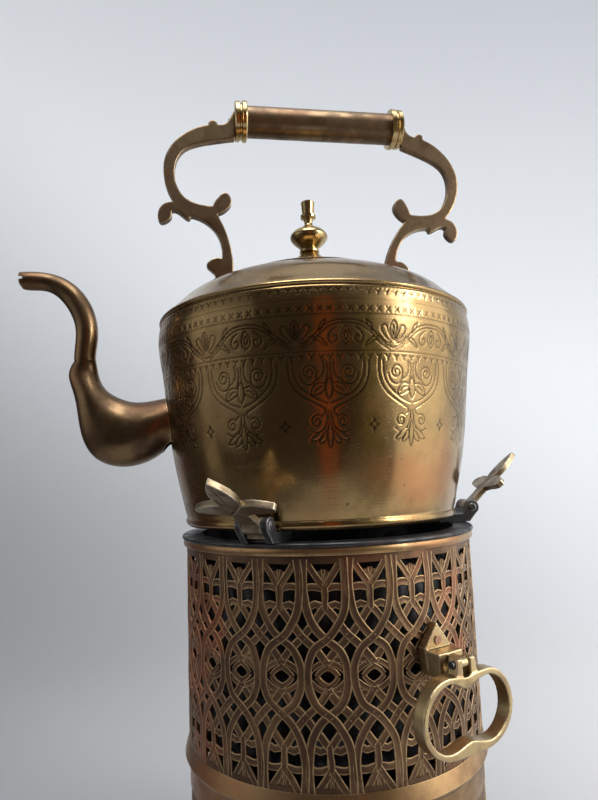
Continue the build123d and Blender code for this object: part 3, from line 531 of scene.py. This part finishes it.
@dataclass
class Skin:
    """A mesh in the making: points, faces and the height of each point in the relief.

    Attributes:
        points: Blocks of points in millimetres.
        faces: Every face, as the numbers of its corners.
        relief: Blocks of relief, 0 in a hollow and 1 on a ridge.
        count: Number of points so far.
    """

    points: list[np.ndarray] = field(default_factory=list)
    faces: list[list[int]] = field(default_factory=list)
    relief: list[np.ndarray] = field(default_factory=list)
    count: int = 0

    def add(self, points: np.ndarray, faces: Iterable[Iterable[int]],
            relief: Union[float, np.ndarray] = 0.5) -> None:
        """Adds a block.

        Args:
            points: Its points, one a row.
            faces: Its faces, counted from the block's first point.
            relief: One value, or one for each point.
        """
        points = np.asarray(points, float).reshape(-1, 3)
        self.points.append(points)
        self.relief.append(np.broadcast_to(np.asarray(relief, float), (len(points),)))
        self.faces.extend([int(v) + self.count for v in face] for face in faces)
        self.count += len(points)

    def make(self, name: str, smooth: float = 40.0) -> bpy.types.Object:
        """Makes the Blender object.

        Args:
            name: The object's name.
            smooth: Edges bent by more than this many degrees stay sharp.

        Returns:
            The new object, linked to the scene.
        """
        mesh = bpy.data.meshes.new(name)
        mesh.from_pydata((np.vstack(self.points) * MM).tolist(), [], self.faces)
        attribute = mesh.attributes.new("relief", "FLOAT", "POINT")
        attribute.data.foreach_set("value", np.concatenate(self.relief).astype(np.float32))
        mesh.validate()
        mesh.shade_smooth()
        mesh.set_sharp_from_angle(angle=math.radians(smooth))
        return placed(name, mesh)


def rolled(u: np.ndarray, v: np.ndarray, radius: np.ndarray, about: float) -> np.ndarray:
    """Rolls flat points up on a cylinder.

    Args:
        u: Angle in radians.
        v: Height.
        radius: Distance from the axis.
        about: Where the axis stands along X.

    Returns:
        The points, one a row.
    """
    return np.stack([about + radius * np.cos(u), radius * np.sin(u), v + 0 * u], -1).reshape(-1, 3)


# Studio


@dataclass(frozen=True)
class Lamp:
    """A square soft lamp that looks at the kettle.

    Attributes:
        name: The lamp's name.
        azimuth: Degrees from -Y towards +X.
        elevation: Degrees above the level.
        reach: Distance in metres from the point that it looks at.
        size: Side of the lamp in metres.
        power: Watts.
        colour: Its tint.
        aim: Height in metres of the point that it looks at.
    """

    name: str
    azimuth: float
    elevation: float
    reach: float
    size: float
    power: float
    colour: Colour
    aim: float = 0.38

    def hang(self) -> None:
        """Puts the lamp in the scene."""
        a, e = math.radians(self.azimuth - 90), math.radians(self.elevation)
        out = Vector((math.cos(a) * math.cos(e), math.sin(a) * math.cos(e), math.sin(e)))
        data = bpy.data.lights.new(self.name, "AREA")
        data.size = self.size
        data.energy = self.power
        data.color = self.colour
        lamp = placed(self.name, data)
        lamp.location = Vector((0, 0, self.aim)) + out * self.reach
        lamp.rotation_mode = "QUATERNION"
        lamp.rotation_quaternion = (-out).to_track_quat("-Z", "Y")


@dataclass(frozen=True)
class Screen:
    """A curved screen round the object that only its reflections show.

    Attributes:
        name: The screen's name.
        azimuth: Where it starts and ends, in degrees from -Y towards +X.
        height: Its lower and upper edge in metres.
        colour: How bright it looks.
        reach: Distance from the object's axis in metres.
        steps: Number of points along each edge.
    """

    name: str
    azimuth: Flat
    height: Flat
    colour: Colour
    reach: float
    steps: int = 25

    def stand(self) -> None:
        """Puts the screen in the scene."""
        turn = np.radians(np.linspace(self.azimuth[0] - 90, self.azimuth[1] - 90, self.steps))
        edges = np.array(self.height)[:, None] / MM
        radius = np.full((2, 1), self.reach / MM)
        skin = Skin()
        skin.add(rolled(turn[None, :], edges, radius, 0.0), grid_faces(2, self.steps, False, False))
        screen = skin.make(self.name)
        material, graph, glow = surface(self.name, "Emission")
        graph.feed(glow.inputs[0], self.colour)
        screen.data.materials.append(material)
        screen.visible_camera = False
        screen.visible_diffuse = False
        screen.visible_shadow = False


LAMPS = (
    Lamp("Window", azimuth=62, elevation=18, reach=1.6, size=0.9, power=38,
         colour=(1.0, 0.98, 0.94)),
    Lamp("Ceiling", azimuth=-10, elevation=72, reach=1.7, size=1.2, power=24,
         colour=(1.0, 1.0, 1.0)),
    Lamp("Left wall", azimuth=-78, elevation=12, reach=1.8, size=1.0, power=15,
         colour=(0.95, 0.97, 1.0)),
)

SCREENS = (
    Screen("Dark room", (-135, 44), (-0.05, 1.3), (0.058, 0.048, 0.042), 0.8),
    Screen("Doorway", (-96, -84), (0.0, 0.9), (0.3, 0.29, 0.27), 0.75),
    Screen("Red curtain", (-9, 3), (0.0, 0.8), (0.3, 0.09, 0.035), 0.75),
    Screen("Olive chair", (20, 40), (0.0, 0.8), (0.19, 0.175, 0.075), 0.75),
    Screen("Window pane", (58, 94), (0.1, 1.1), (1.65, 1.62, 1.55), 1.3),
)


@dataclass
class Studio:
    """Round pale cove, soft lamps and the camera.

    Attributes:
        eye: The camera's place in metres.
        heading: Its direction in degrees clockwise from +Y.
        pitch: Degrees that it looks up.
        roll: Degrees that it leans.
        lens: Focal length in millimetres.
        sensor: Height of the picture on the sensor in millimetres.
        flat: Radius of the level floor in millimetres.
        bend: Radius of the curve from floor to wall in millimetres.
        top: Height of the wall in millimetres.
        dark: Colour painted on the wall where it is dimmest, as painted shade.
        pale: Colour painted on the wall where it is brightest, as painted light.
        sky: Colour of the even light from all round.
        sky_power: Strength of that light.
    """

    eye: Place = (-0.0900, -0.4631, 0.3397)
    heading: float = 8.883
    pitch: float = 7.02
    roll: float = -2.10
    lens: float = 26.97
    sensor: float = 36.0
    flat: float = 800.0
    bend: float = 1600.0
    top: float = 3200.0
    dark: Colour = (0.12, 0.117, 0.124)
    pale: Colour = (0.85, 0.868, 0.89)
    sky: Colour = (0.86, 0.89, 0.94)
    sky_power: float = 0.86

    def camera(self) -> None:
        """Sets up the camera at the photograph's angle."""
        yaw, pitch, roll = (math.radians(a) for a in (self.heading, self.pitch, self.roll))
        level = math.cos(pitch)
        ahead = Vector((math.sin(yaw) * level, math.cos(yaw) * level, math.sin(pitch)))
        right = Vector((math.cos(yaw), -math.sin(yaw), 0))
        up = right.cross(ahead)
        side = right * math.cos(roll) + up * math.sin(roll)
        top = -right * math.sin(roll) + up * math.cos(roll)
        lens = bpy.data.cameras.new("Camera")
        lens.sensor_width = self.sensor
        lens.lens = self.lens
        lens.clip_start = 0.01
        camera = placed("Camera", lens)
        camera.matrix_world = Matrix((side, top, -ahead)).transposed().to_4x4()
        camera.location = self.eye
        bpy.context.scene.camera = camera

    def wall(self) -> bpy.types.Material:
        """Makes the wall's material, with painted light and shade: its colour is darker at the
        left, low down and in front.
        """
        material, graph, shader = surface("Pale wall")
        split = graph.add("SeparateXYZ")
        graph.feed(split.inputs[0], graph.place())
        x, y, z = split.outputs
        # Painted light and shade: the wall's colour is darker at the left, low down and in front,
        # and paler at the right and up high.
        lean = graph.plus(graph.times(x, 0.3), graph.times(z, 0.5))
        front = graph.span(y, -1.2, -0.35, 0.3, 1.0)
        shade = graph.times(graph.span(lean, -0.46, 0.84), front)
        graph.feed(shader.inputs["Base Color"], graph.mix(shade, self.dark, self.pale))
        shader.inputs["Roughness"].default_value = 0.9
        return material

    def cove(self, columns: int = 96) -> None:
        """Makes the floor that curves up into a round wall.

        Args:
            columns: Number of points round it.
        """
        profile = [(0.0, 0.0), (self.flat, 0.0)]
        for a in np.linspace(0.06, math.pi / 2, 24):
            out, up = self.bend * math.sin(a), self.bend - self.bend * math.cos(a)
            profile.append((self.flat + out, up))
        profile += [(self.flat + self.bend, self.top)]
        r, z = np.array(profile).T
        turn = np.linspace(0, 2 * math.pi, columns, endpoint=False)
        skin = Skin()
        points = rolled(turn[None, :], z[:, None], r[:, None], 0.0)
        skin.add(points, grid_faces(len(r), columns, False, True))
        cove = skin.make("Cove")
        cove.data.materials.append(self.wall())

    def world(self) -> None:
        """Sets up the even pale sky."""
        world = bpy.data.worlds.new("Sky")
        world.use_nodes = True
        graph = Graph(world.node_tree)
        sky = graph.add("Background")
        graph.feed(sky.inputs[0], self.sky)
        sky.inputs[1].default_value = self.sky_power
        graph.feed(graph.add("OutputWorld").inputs[0], sky.outputs[0])
        bpy.context.scene.world = world

    def build(self) -> None:
        """Sets up everything round the object."""
        self.camera()
        self.cove()
        self.world()
        for lamp in LAMPS:
            lamp.hang()
        for screen in SCREENS:
            screen.stand()
        bpy.context.scene.view_settings.view_transform = "Standard"


# Kettle


# Right half of one repeat of the vine: each line's spacing of points, then its reach and height
VINE = (
    (0.8, [(0, 109.6), (5, 111.5), (12, 118.0), (20, 124.0), (27, 126.0), (31, 126.2)]),
    (0.8, [(2.5, 108.5), (7.5, 111.3), (14, 117.2), (21, 122.2), (27, 124.0), (31, 124.2)]),
    (0.5, [(0, 114.5), (1.9, 119), (2.1, 123.5), (0, 126.6)]),
    (0.5, [(0, 117.0), (0.7, 121), (0, 124)]),
    (0.5, [(1.2, 114.8), (3.6, 119.5), (6.6, 123.6), (8.6, 122.2), (7.6, 118.6), (4.6, 115.4),
           (1.6, 113.6)]),
    (0.5, [(2.5, 112.6), (6.5, 113.8), (10.4, 116.6), (11.6, 114.6), (8.5, 112.0)]),
    (0.5, [(30.9, 122.6), (28.4, 118.0), (28.6, 114.0), (30.9, 111.6)]),
    (0.5, [(30.9, 119.5), (30.0, 117), (30.9, 114)]),
    (0.5, [(25.5, 121.8), (22.0, 119.0), (20.6, 115.4), (22.8, 112.6), (25.6, 114.0), (25.0, 117.0),
           (23.2, 116.4)]),
    (0.5, [(14.5, 119.5), (15.5, 123.5), (18.8, 126.4)]),
    (0.5, [(18.8, 126.4), (17.4, 122.6), (14.5, 119.5)]),
    (0.5, [(12.0, 114.6), (15.5, 112.5), (19.2, 110.6), (16.5, 114.4), (13.4, 116.4)]),
)

# Right half of one shield medallion and its finial, in the same form
MEDALLION = (
    (0.7, [(25.4, 102.0), (25.2, 94.0), (23.0, 87.0), (17.5, 81.0), (9.5, 76.2), (3.0, 72.8)]),
    (0.7, [(22.2, 102.0), (22.0, 95.0), (20.0, 89.0), (15.0, 83.4), (8.0, 78.8), (1.2, 76.4)]),
    (0.6, [(8.1, 93.4), (8.8, 89.8), (12.2, 87.6), (16.6, 89.4), (18.4, 94.0)]),
    (0.6, [(3.6, 102.0), (3.0, 97.0), (5.0, 92.5), (8.4, 90.4)]),
    (0.6, [(1.2, 101.0), (1.0, 94.0), (2.6, 88.0)]),
    (0.6, [(0, 92.0), (2.3, 87.0), (2.0, 82.0), (0, 78.8)]),
    (0.6, [(2.6, 88.0), (6.5, 88.6), (10.6, 85.6), (11.4, 81.6), (7.0, 82.0), (2.6, 84.6)]),
    (0.6, [(4.6, 86.4), (7.4, 85.4), (9.6, 83.2)]),
    (0.6, [(3.0, 72.8), (3.2, 70.5), (5.2, 69.6)]),
    (0.6, [(1.0, 72.0), (1.6, 66.0), (4.0, 61.4), (8.6, 59.0), (13.4, 60.8)]),
    (0.6, [(0, 66.0), (1.9, 60.0), (1.7, 54.0), (0, 49.6)]),
    (0.6, [(1.9, 60.0), (5.4, 57.0), (7.2, 52.6), (4.4, 53.4), (1.8, 55.8)]),
    (0.6, [(3.4, 61.0), (8.6, 58.4), (12.6, 54.2), (8.2, 54.6), (5.4, 56.8)]),
)


@dataclass(frozen=True)
class Band:
    """A band of engraving that repeats round the wall.

    Attributes:
        repeats: Number of repeats.
        first: Angle in degrees of the middle of one.
        low: Height of its lower edge.
        high: Height of its upper edge.
        lines: The right half of one repeat.
        width: Half width of a line.
    """

    repeats: int
    first: float
    low: float
    high: float
    lines: list[np.ndarray]
    width: float = 0.75


@dataclass
class KettleWall:
    """The kettle's engraved wall.

    Attributes:
        shift: Where the kettle's axis stands along X.
        base: Height of the kettle's underside.
        foot_r: Radius at the foot.
        body_r: Greatest radius.
        foot_h: Height of the foot ring.
        body_h: Height of the seam to the dome.
        drawn_r: Radius at which the ornament was drawn.
        proud: How far the skin stands outside the solid wall.
        depth: Depth of an engraved line.
        rings: Heights of the plain lines that run round the wall.
        ring_width: Half width of one of them.
        ring_depth: Its depth as a share of an engraved line's.
        columns: Points round the wall.
        rows: Distance between rows of points in the engraved part.
    """

    shift: float = -4.5
    base: float = 305.0
    foot_r: float = 100.0
    body_r: float = 120.0
    foot_h: float = 6.5
    body_h: float = 148.8
    drawn_r: float = 119.0
    proud: float = 0.26
    depth: float = 0.24
    rings: tuple[float, ...] = (107.4, 128.8, 129.8, 138.6)
    ring_width: float = 0.5
    ring_depth: float = 0.7
    columns: int = 1104
    rows: float = 0.64

    def radius(self, z: np.ndarray) -> np.ndarray:
        """Radius of the solid wall at heights above the kettle's underside."""
        rise = ((0.0, 0.04), (0.1, 0.2), (0.25, 0.43), (0.48, 0.67), (0.77, 0.905), (0.945, 1.0),
                (1.0, 0.93))
        height = self.body_h - self.foot_h
        flare = self.body_r - self.foot_r
        curve = through([(self.foot_r + flare * f, self.foot_h + height * t) for t, f in rise], 1.0)
        return np.interp(z, curve[:, 1], curve[:, 0])

    def spiral(self, u: float, v: float, radius: float, turns: float, start: float,
               hand: int) -> np.ndarray:
        """Spiral line that winds in to its middle.

        Args:
            u: Middle's reach.
            v: Middle's height.
            radius: Outer radius.
            turns: Number of turns.
            start: Angle in degrees where it starts.
            hand: 1 for counter-clockwise, -1 for clockwise.

        Returns:
            The line's points.
        """
        t = np.linspace(0, 1, int(30 * turns))
        a = math.radians(start) + hand * 2 * math.pi * turns * t
        r = radius * (1 - 0.78 * t)
        return np.stack([u + r * np.cos(a), v + r * np.sin(a)], -1)

    def medallion(self) -> list[np.ndarray]:
        """Right half of one shield medallion with its scrolls."""
        lines = [through(points, step) for step, points in MEDALLION]
        lines.append(self.spiral(12.6, 95.0, 4.8, 1.6, 200, -1))
        lines.append(self.spiral(8.6, 65.6, 4.2, 1.35, 140, -1))
        return lines

    def star(self) -> list[np.ndarray]:
        """Right half of the small four-pointed star between two medallions."""
        ends = [(28.95, 67.4), (27.9, 64.2), (25.2, 63.0), (27.9, 61.8), (28.95, 58.6)]
        return [through(ends[i:i + 2], 0.6) for i in range(4)]

    def punches(self) -> list[np.ndarray]:
        """Right half of one punched mark in each of the three rows."""
        lines = []
        for z, flip in ((144.3, 1), (133.0, -1), (103.9, 1)):
            lines.append(through([(0, z), (1.5, z + 1.5 * flip)], 0.4))
            lines.append(through([(0, z), (0.0 if flip > 0 else 1.3, z - 1.6 * flip)], 0.4))
        return lines

    def near(self, u: np.ndarray, v: np.ndarray, lines: list[np.ndarray],
             width: float) -> np.ndarray:
        """Depth of the nearest line at each point, from 0 to 1.

        Args:
            u: Reach of each point from its repeat's middle.
            v: Height of each point.
            lines: The engraved lines.
            width: Half width of a line.

        Returns:
            1 on a line's middle, easing to 0 at its edge.
        """
        a = np.vstack([line[:-1] for line in lines])
        b = np.vstack([line[1:] for line in lines])
        d = b - a
        length = np.maximum((d ** 2).sum(1), 1e-9)
        best = np.full(u.shape, 9.0)
        for k in range(0, len(u), 4000):
            px = u[k:k + 4000, None] - a[None, :, 0]
            py = v[k:k + 4000, None] - a[None, :, 1]
            t = np.clip((px * d[:, 0] + py * d[:, 1]) / length, 0, 1)
            best[k:k + 4000] = np.hypot(px - t * d[:, 0], py - t * d[:, 1]).min(1)
        x = np.clip(1 - best / width, 0, 1)
        return x * x * (3 - 2 * x)

    def cut(self, angle: np.ndarray, z: np.ndarray) -> np.ndarray:
        """How deep the engraving is at each point of the wall, from 0 to 1."""
        depth = np.zeros(angle.shape)
        vine = [through(points, step) for step, points in VINE]
        bands = (
            Band(12, -105.8, 107.5, 128.0, vine),
            Band(13, -96.2, 48.0, 102.6, self.medallion() + self.star()),
            Band(122, -95.4, 100.0, 147.0, self.punches(), 0.7),
        )
        for band in bands:
            pitch = 2 * math.pi / band.repeats
            here = (z > band.low) & (z < band.high)
            u = (angle[here] - math.radians(band.first) + pitch / 2) % pitch - pitch / 2
            drawn = self.near(np.abs(u) * self.drawn_r, z[here], band.lines, band.width)
            depth[here] = np.maximum(depth[here], drawn)
        for level in self.rings:
            ring = np.clip(1 - np.abs(z - level) / self.ring_width, 0, 1)
            depth = np.maximum(depth, self.ring_depth * ring)
        return depth

    def build(self, palette: Palette) -> None:
        """Makes the engraved skin over the solid wall, in a finish from the palette."""
        start, end = self.foot_h + 0.6, self.body_h - 0.2
        z = np.r_[np.linspace(start, 46.0, 16), np.arange(46.6, 147.6, self.rows), 147.9, end]
        turn = np.linspace(0, 2 * math.pi, self.columns, endpoint=False)
        zz, tt = (g.ravel() for g in np.meshgrid(z, turn, indexing="ij"))
        depth = self.cut(tt, zz)
        taper = np.clip((zz - start) / 3.0, 0, 1) * np.clip((end - zz) / 0.7, 0, 1)
        r = self.radius(zz) + self.proud * (taper * 1.1 - 0.1) - self.depth * depth
        skin = Skin()
        faces = grid_faces(len(z), self.columns, False, True)
        # Engraved lines get low relief, which the finish darkens with painted shade.
        skin.add(rolled(tt, zz + self.base, r, self.shift), faces, 0.5 - 0.5 * depth)
        piece = skin.make("engraved_wall", 180.0)
        palette.dress(piece, "engraved_brass")
        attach(piece, "kettle")
        LOG.info("engraved wall: %d points", skin.count)


# Castings


@dataclass
class Casting:
    """A cast piece whose edges are softened as files and years soften them.

    Attributes:
        node: The CAD node that it stands for.
        body: The body that carries it.
        finish: Its finish.
        cell: Size in millimetres of the cells that the solid is read into.
        rounds: How often each point moves halfway to the middle of its neighbours.
        wide_rounds: The same for the smoother form that the relief is measured from.
        bite: How strongly the relief follows each edge.
    """

    node: str
    body: str
    finish: str
    cell: float = 0.5
    rounds: int = 5
    wide_rounds: int = 10
    bite: float = 0.55

    def cells(self) -> bpy.types.Mesh:
        """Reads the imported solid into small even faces, in the scene's own space."""
        source = frame["nodes"][self.node]
        copy = placed("cells", source.data.copy())
        copy.data.transform(source.matrix_world)
        remesh = copy.modifiers.new("cells", "REMESH")
        remesh.mode = "VOXEL"
        remesh.voxel_size = self.cell * MM
        graph = bpy.context.evaluated_depsgraph_get()
        mesh = bpy.data.meshes.new_from_object(copy.evaluated_get(graph))
        bpy.data.objects.remove(copy)
        return mesh

    def soften(self, mesh: bpy.types.Mesh) -> None:
        """Rounds a mesh's edges and notes in its relief where they were."""
        n = len(mesh.vertices)
        points = np.empty(n * 3)
        mesh.vertices.foreach_get("co", points)
        points = points.reshape(-1, 3)
        ends = np.empty(len(mesh.edges) * 2, np.int32)
        mesh.edges.foreach_get("vertices", ends)
        a, b = ends.reshape(-1, 2).T
        count = np.maximum(np.bincount(ends, minlength=n), 1)[:, None]

        def settle(p: np.ndarray) -> np.ndarray:
            """Middle of each point's neighbours."""
            sums = [np.bincount(a, p[b, k], n) + np.bincount(b, p[a, k], n) for k in range(3)]
            return np.stack(sums, -1) / count

        for _ in range(self.rounds):
            points = 0.5 * (points + settle(points))
        mesh.vertices.foreach_set("co", points.ravel())
        mesh.update()
        normals = np.empty(n * 3)
        mesh.vertex_normals.foreach_get("vector", normals)
        wide = points
        for _ in range(self.wide_rounds):
            wide = settle(wide)
        bulge = ((points - wide) * normals.reshape(-1, 3)).sum(1) / (self.cell * MM)
        # Hollows get low relief, which the finish darkens with painted shade.
        relief = np.clip(0.5 + self.bite * bulge, 0, 1)
        attribute = mesh.attributes.new("relief", "FLOAT", "POINT")
        attribute.data.foreach_set("value", relief.astype(np.float32))

    def build(self, palette: Palette) -> None:
        """Makes the piece, in a finish from the palette."""
        mesh = self.cells()
        self.soften(mesh)
        mesh.shade_smooth()
        piece = placed(self.node + "_cast", mesh)
        palette.dress(piece, self.finish)
        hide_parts(self.node)
        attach(piece, self.body)
        LOG.info("%s: %d points", piece.name, len(mesh.vertices))


# Brazier


@dataclass(frozen=True)
class Strand:
    """One strand of the pierced pattern.

    Attributes:
        points: Its middle line: degrees from the strap, millimetres from the pattern's middle.
        width: Its width in millimetres.
        lift: How far its face stands above the sheet's, so that strands pass over and under.
        alternate: Whether only every second strap has it.
    """

    points: Line
    width: float
    lift: float
    alternate: bool = False


@dataclass
class Lattice:
    """Pierced drum made of grooved strands that cross between straps.

    Attributes:
        name: The piece's name.
        node: The CAD node that it stands for.
        radius: Outer radius.
        low: Height of its lower end.
        high: Height of its upper end.
        middle: Height of the pattern's middle.
        tall: Whether it has the bars and buds beyond the straps.
        top_hoop: Height of the plain band at its upper end.
        bottom_hoop: Height of the plain band at its lower end.
        hoop_inset: How far the bands stand back from the outer radius.
        under: How much lower the strands of one hand lie than the others that they cross.
        spacing: Greatest distance between a strand's points.
        sheet: Thickness of the sheet.
        repeats: Straps round the drum.
        first: Angle of one strap in degrees.
    """

    name: str
    node: str
    radius: float
    low: float
    high: float
    middle: float
    tall: bool
    top_hoop: float
    bottom_hoop: float = 3.0
    hoop_inset: float = 0.25
    under: float = 0.1
    spacing: float = 2.2
    sheet: float = 1.5
    repeats: int = 24
    first: float = -95.0

    def strands(self) -> list[Strand]:
        """Right half of one repeat's strands, for the upper half of the pattern."""
        end = 67.5 if self.tall else 48.75
        lines = [
            Strand([(1.1, end), (1.1, 41), (1.6, 37), (2.9, 31.5), (5.1, 25.5), (8.4, 20),
                    (11.5, 15.5), (12.95, 10.5), (13.75, 5.5), (13.95, 0)], 5.2, 0.0),
            Strand([(7.5, 39.5), (5.5, 35.0), (2.9, 28.8), (0.0, 22.6), (-3.4, 16.8), (-5.6, 12.2),
                    (-7.5, 7.4)], 5.0, -0.2),
            Strand([(7.5, 8.4), (5.6, 7.6), (3.2, 4.9), (1.0, 1.4)], 3.4, -0.3),
            Strand([(7.5, 5.3), (9.5, 3.3), (11.0, 0.0)], 3.1, -0.25),
            Strand([(2.4, 9.8), (3.8, 9.6), (5.6, 8.8)], 4.0, -0.4, True),
        ]
        if self.tall:
            lines += [
                Strand([(2.4, 64.5), (4.2, 59.5), (7.5, 50.6)], 4.2, -0.2),
                Strand([(6.3, 60.6), (6.9, 56.0), (7.5, 51.5)], 3.0, -0.3),
                Strand([(7.5, 61.5), (7.5, 51.0)], 2.8, -0.4),
                Strand([(1.0, 50.2), (2.8, 51.3), (4.6, 51.2), (7.5, 49.8)], 4.4, -0.35),
                Strand([(7.5, 51.0), (7.3, 47.0), (7.5, 43.0), (7.5, 38.0)], 4.0, -0.2),
                Strand([(1.0, 40.6), (2.6, 39.6), (4.2, 41.0), (5.9, 39.8), (7.5, 40.3)],
                       4.5, -0.35),
            ]
        else:
            lines.append(Strand([(1.6, 47.5), (4.1, 43.0), (7.5, 38.5)], 4.2, -0.2))
        return lines

    def section(self, strand: Strand, lift: float) -> tuple[np.ndarray, np.ndarray, list[float]]:
        """Cross-section of a strand, with a ridge along each edge and a groove between them.

        Args:
            strand: The strand.
            lift: How far its face stands above the sheet's.

        Returns:
            Each corner's place across the strand, its height above the sheet and its relief.
        """
        half = strand.width / 2
        # The low relief on the strand's sides and along its groove is darkened by the finish with
        # painted shade.
        side = [(1.0, -self.sheet - lift, 0.2), (1.0, -0.4, 0.45), (0.9, -0.06, 0.9),
                (0.77, 0.0, 1.0), (0.58, -0.1, 0.6), (0.13, -0.12, 0.55)]
        left = [(-x * half, h, f) for x, h, f in side]
        right = [(x * half, h, f) for x, h, f in side[::-1]]
        corners = left + [(0.0, -0.2, 0.38)] + right
        off = np.array([x for x, _, _ in corners])
        height = np.array([h for _, h, _ in corners]) + lift
        return off, height, [f for _, _, f in corners]

    def wander(self, u: np.ndarray, v: np.ndarray) -> tuple[np.ndarray, np.ndarray]:
        """How far a hand-cut pattern strays at each point.

        Args:
            u: Angle in radians.
            v: Height above the pattern's middle.

        Returns:
            Millimetres round the drum, and millimetres up it.
        """
        stray = 0.22 * np.sin(9 * u + 0.13 * v) + 0.16 * np.sin(31 * u - 0.24 * v)
        rise = 0.24 * np.sin(7 * u + 0.17 * v + 1.3) + 0.14 * np.sin(26 * u + 0.3 * v)
        return stray, rise

    def ribbon(self, skin: Skin, path: np.ndarray, strand: Strand, lift: float) -> None:
        """Adds one grooved strand at every repeat.

        Args:
            skin: The mesh to add to.
            path: Its middle line as arc length and height.
            strand: The strand.
            lift: How far its face stands above the sheet's.
        """
        ahead = np.gradient(path, axis=0)
        ahead /= np.maximum(np.linalg.norm(ahead, axis=1, keepdims=True), 1e-6)
        across = np.stack([-ahead[:, 1], ahead[:, 0]], -1)
        off, height, relief = self.section(strand, lift)
        flat = path[:, None, :] + across[:, None, :] * off[None, :, None]
        step = 2 if strand.alternate else 1
        turn = np.arange(0, self.repeats, step) * 2 * math.pi / self.repeats
        turn = turn + math.radians(self.first)
        u = turn[:, None, None] + flat[None, :, :, 0] / self.radius
        v = flat[None, :, :, 1] + 0 * u
        stray, rise = self.wander(u, v)
        v = np.clip(v + rise, self.low - self.middle, self.high - self.middle) + self.middle
        u = u + stray / self.radius
        r = self.radius + height[None, None, :] + 0 * u
        corners = len(off)
        quads = grid_faces(len(path), corners, False, True)
        size = len(path) * corners
        ends = [list(range(corners))[::-1], list(range(size - corners, size))]
        faces = [list(quad + k * size) for k in range(len(turn)) for quad in quads]
        faces += [[corner + k * size for corner in end] for k in range(len(turn)) for end in ends]
        skin.add(rolled(u, v, r, 0.0), faces, np.tile(relief, len(path) * len(turn)))

    def build(self, palette: Palette) -> None:
        """Makes the drum, in a finish from the palette."""
        skin = Skin()
        per_deg = math.pi / 180 * self.radius
        for strand in self.strands():
            path = through([(a * per_deg, v) for a, v in strand.points], self.spacing)
            for side in (1, -1):
                for flip in (1, -1):
                    lift = strand.lift - (self.under if side > 0 else 0.0)
                    self.ribbon(skin, path * (side, flip), strand, lift)
        self.hoop(skin, self.high - self.top_hoop, self.high)
        self.hoop(skin, self.low, self.low + self.bottom_hoop)
        piece = skin.make(self.name, 50.0)
        palette.dress(piece, "lattice_brass")
        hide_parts(self.node)
        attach(piece, "brazier")
        LOG.info("%s: %d points", self.name, skin.count)

    def hoop(self, skin: Skin, low: float, high: float, columns: int = 192) -> None:
        """Adds a plain band of the sheet.

        Args:
            skin: The mesh to add to.
            low: Height of its lower edge.
            high: Height of its upper edge.
            columns: Points round it.
        """
        out = self.radius - self.hoop_inset
        back = out - self.sheet
        r, z = np.array([(out, low), (out, high), (back, high), (back, low)]).T
        turn = np.linspace(0, 2 * math.pi, columns, endpoint=False)
        faces = grid_faces(columns, len(r), True, True)
        # The plain band's relief of 0.35 darkens it a little with painted shade.
        skin.add(rolled(turn[:, None], z[None, :], r[None, :], 0.0), faces, 0.35)


def castings() -> list[Casting]:
    """Every cast piece of the kettle, its pot supports and the drop rings."""
    pieces = [Casting(f"handle_arm_{end}", "kettle", "cast_brass") for end in ("spout", "rear")]
    for k in (1, 2, 3):
        pieces.append(Casting(f"support_arm_{k}", f"support_{k}", "worn_support", 0.4, 4))
        pieces.append(Casting(f"support_bracket_{k}", "fire_pot", "worn_iron", 0.4, 3))
    for k in (1, 2):
        pieces.append(Casting(f"ring_bracket_{k}", "brazier", "worn_ring", 0.4, 4))
        pieces.append(Casting(f"ring_handle_{k}", f"ring_{k}", "worn_ring", 0.5, 4))
    return pieces


def main() -> None:
    """Builds every piece round the frame."""
    logging.basicConfig(level=logging.INFO, format="%(name)s: %(message)s")
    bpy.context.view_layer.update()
    palette = Palette(frame["record"])
    palette.dress_nodes(frame["nodes"])
    Studio().build()
    KettleWall().build(palette)
    Lattice("upper_lattice", "drum_upper", radius=106.0, low=158.0, high=294.0, middle=221.5,
            tall=True, top_hoop=8.0).build(palette)
    Lattice("lower_lattice", "drum_lower", radius=105.0, low=31.5, high=129.0, middle=80.25,
            tall=False, top_hoop=4.5).build(palette)
    for casting in castings():
        casting.build(palette)


if __name__ == "__main__":
    main()
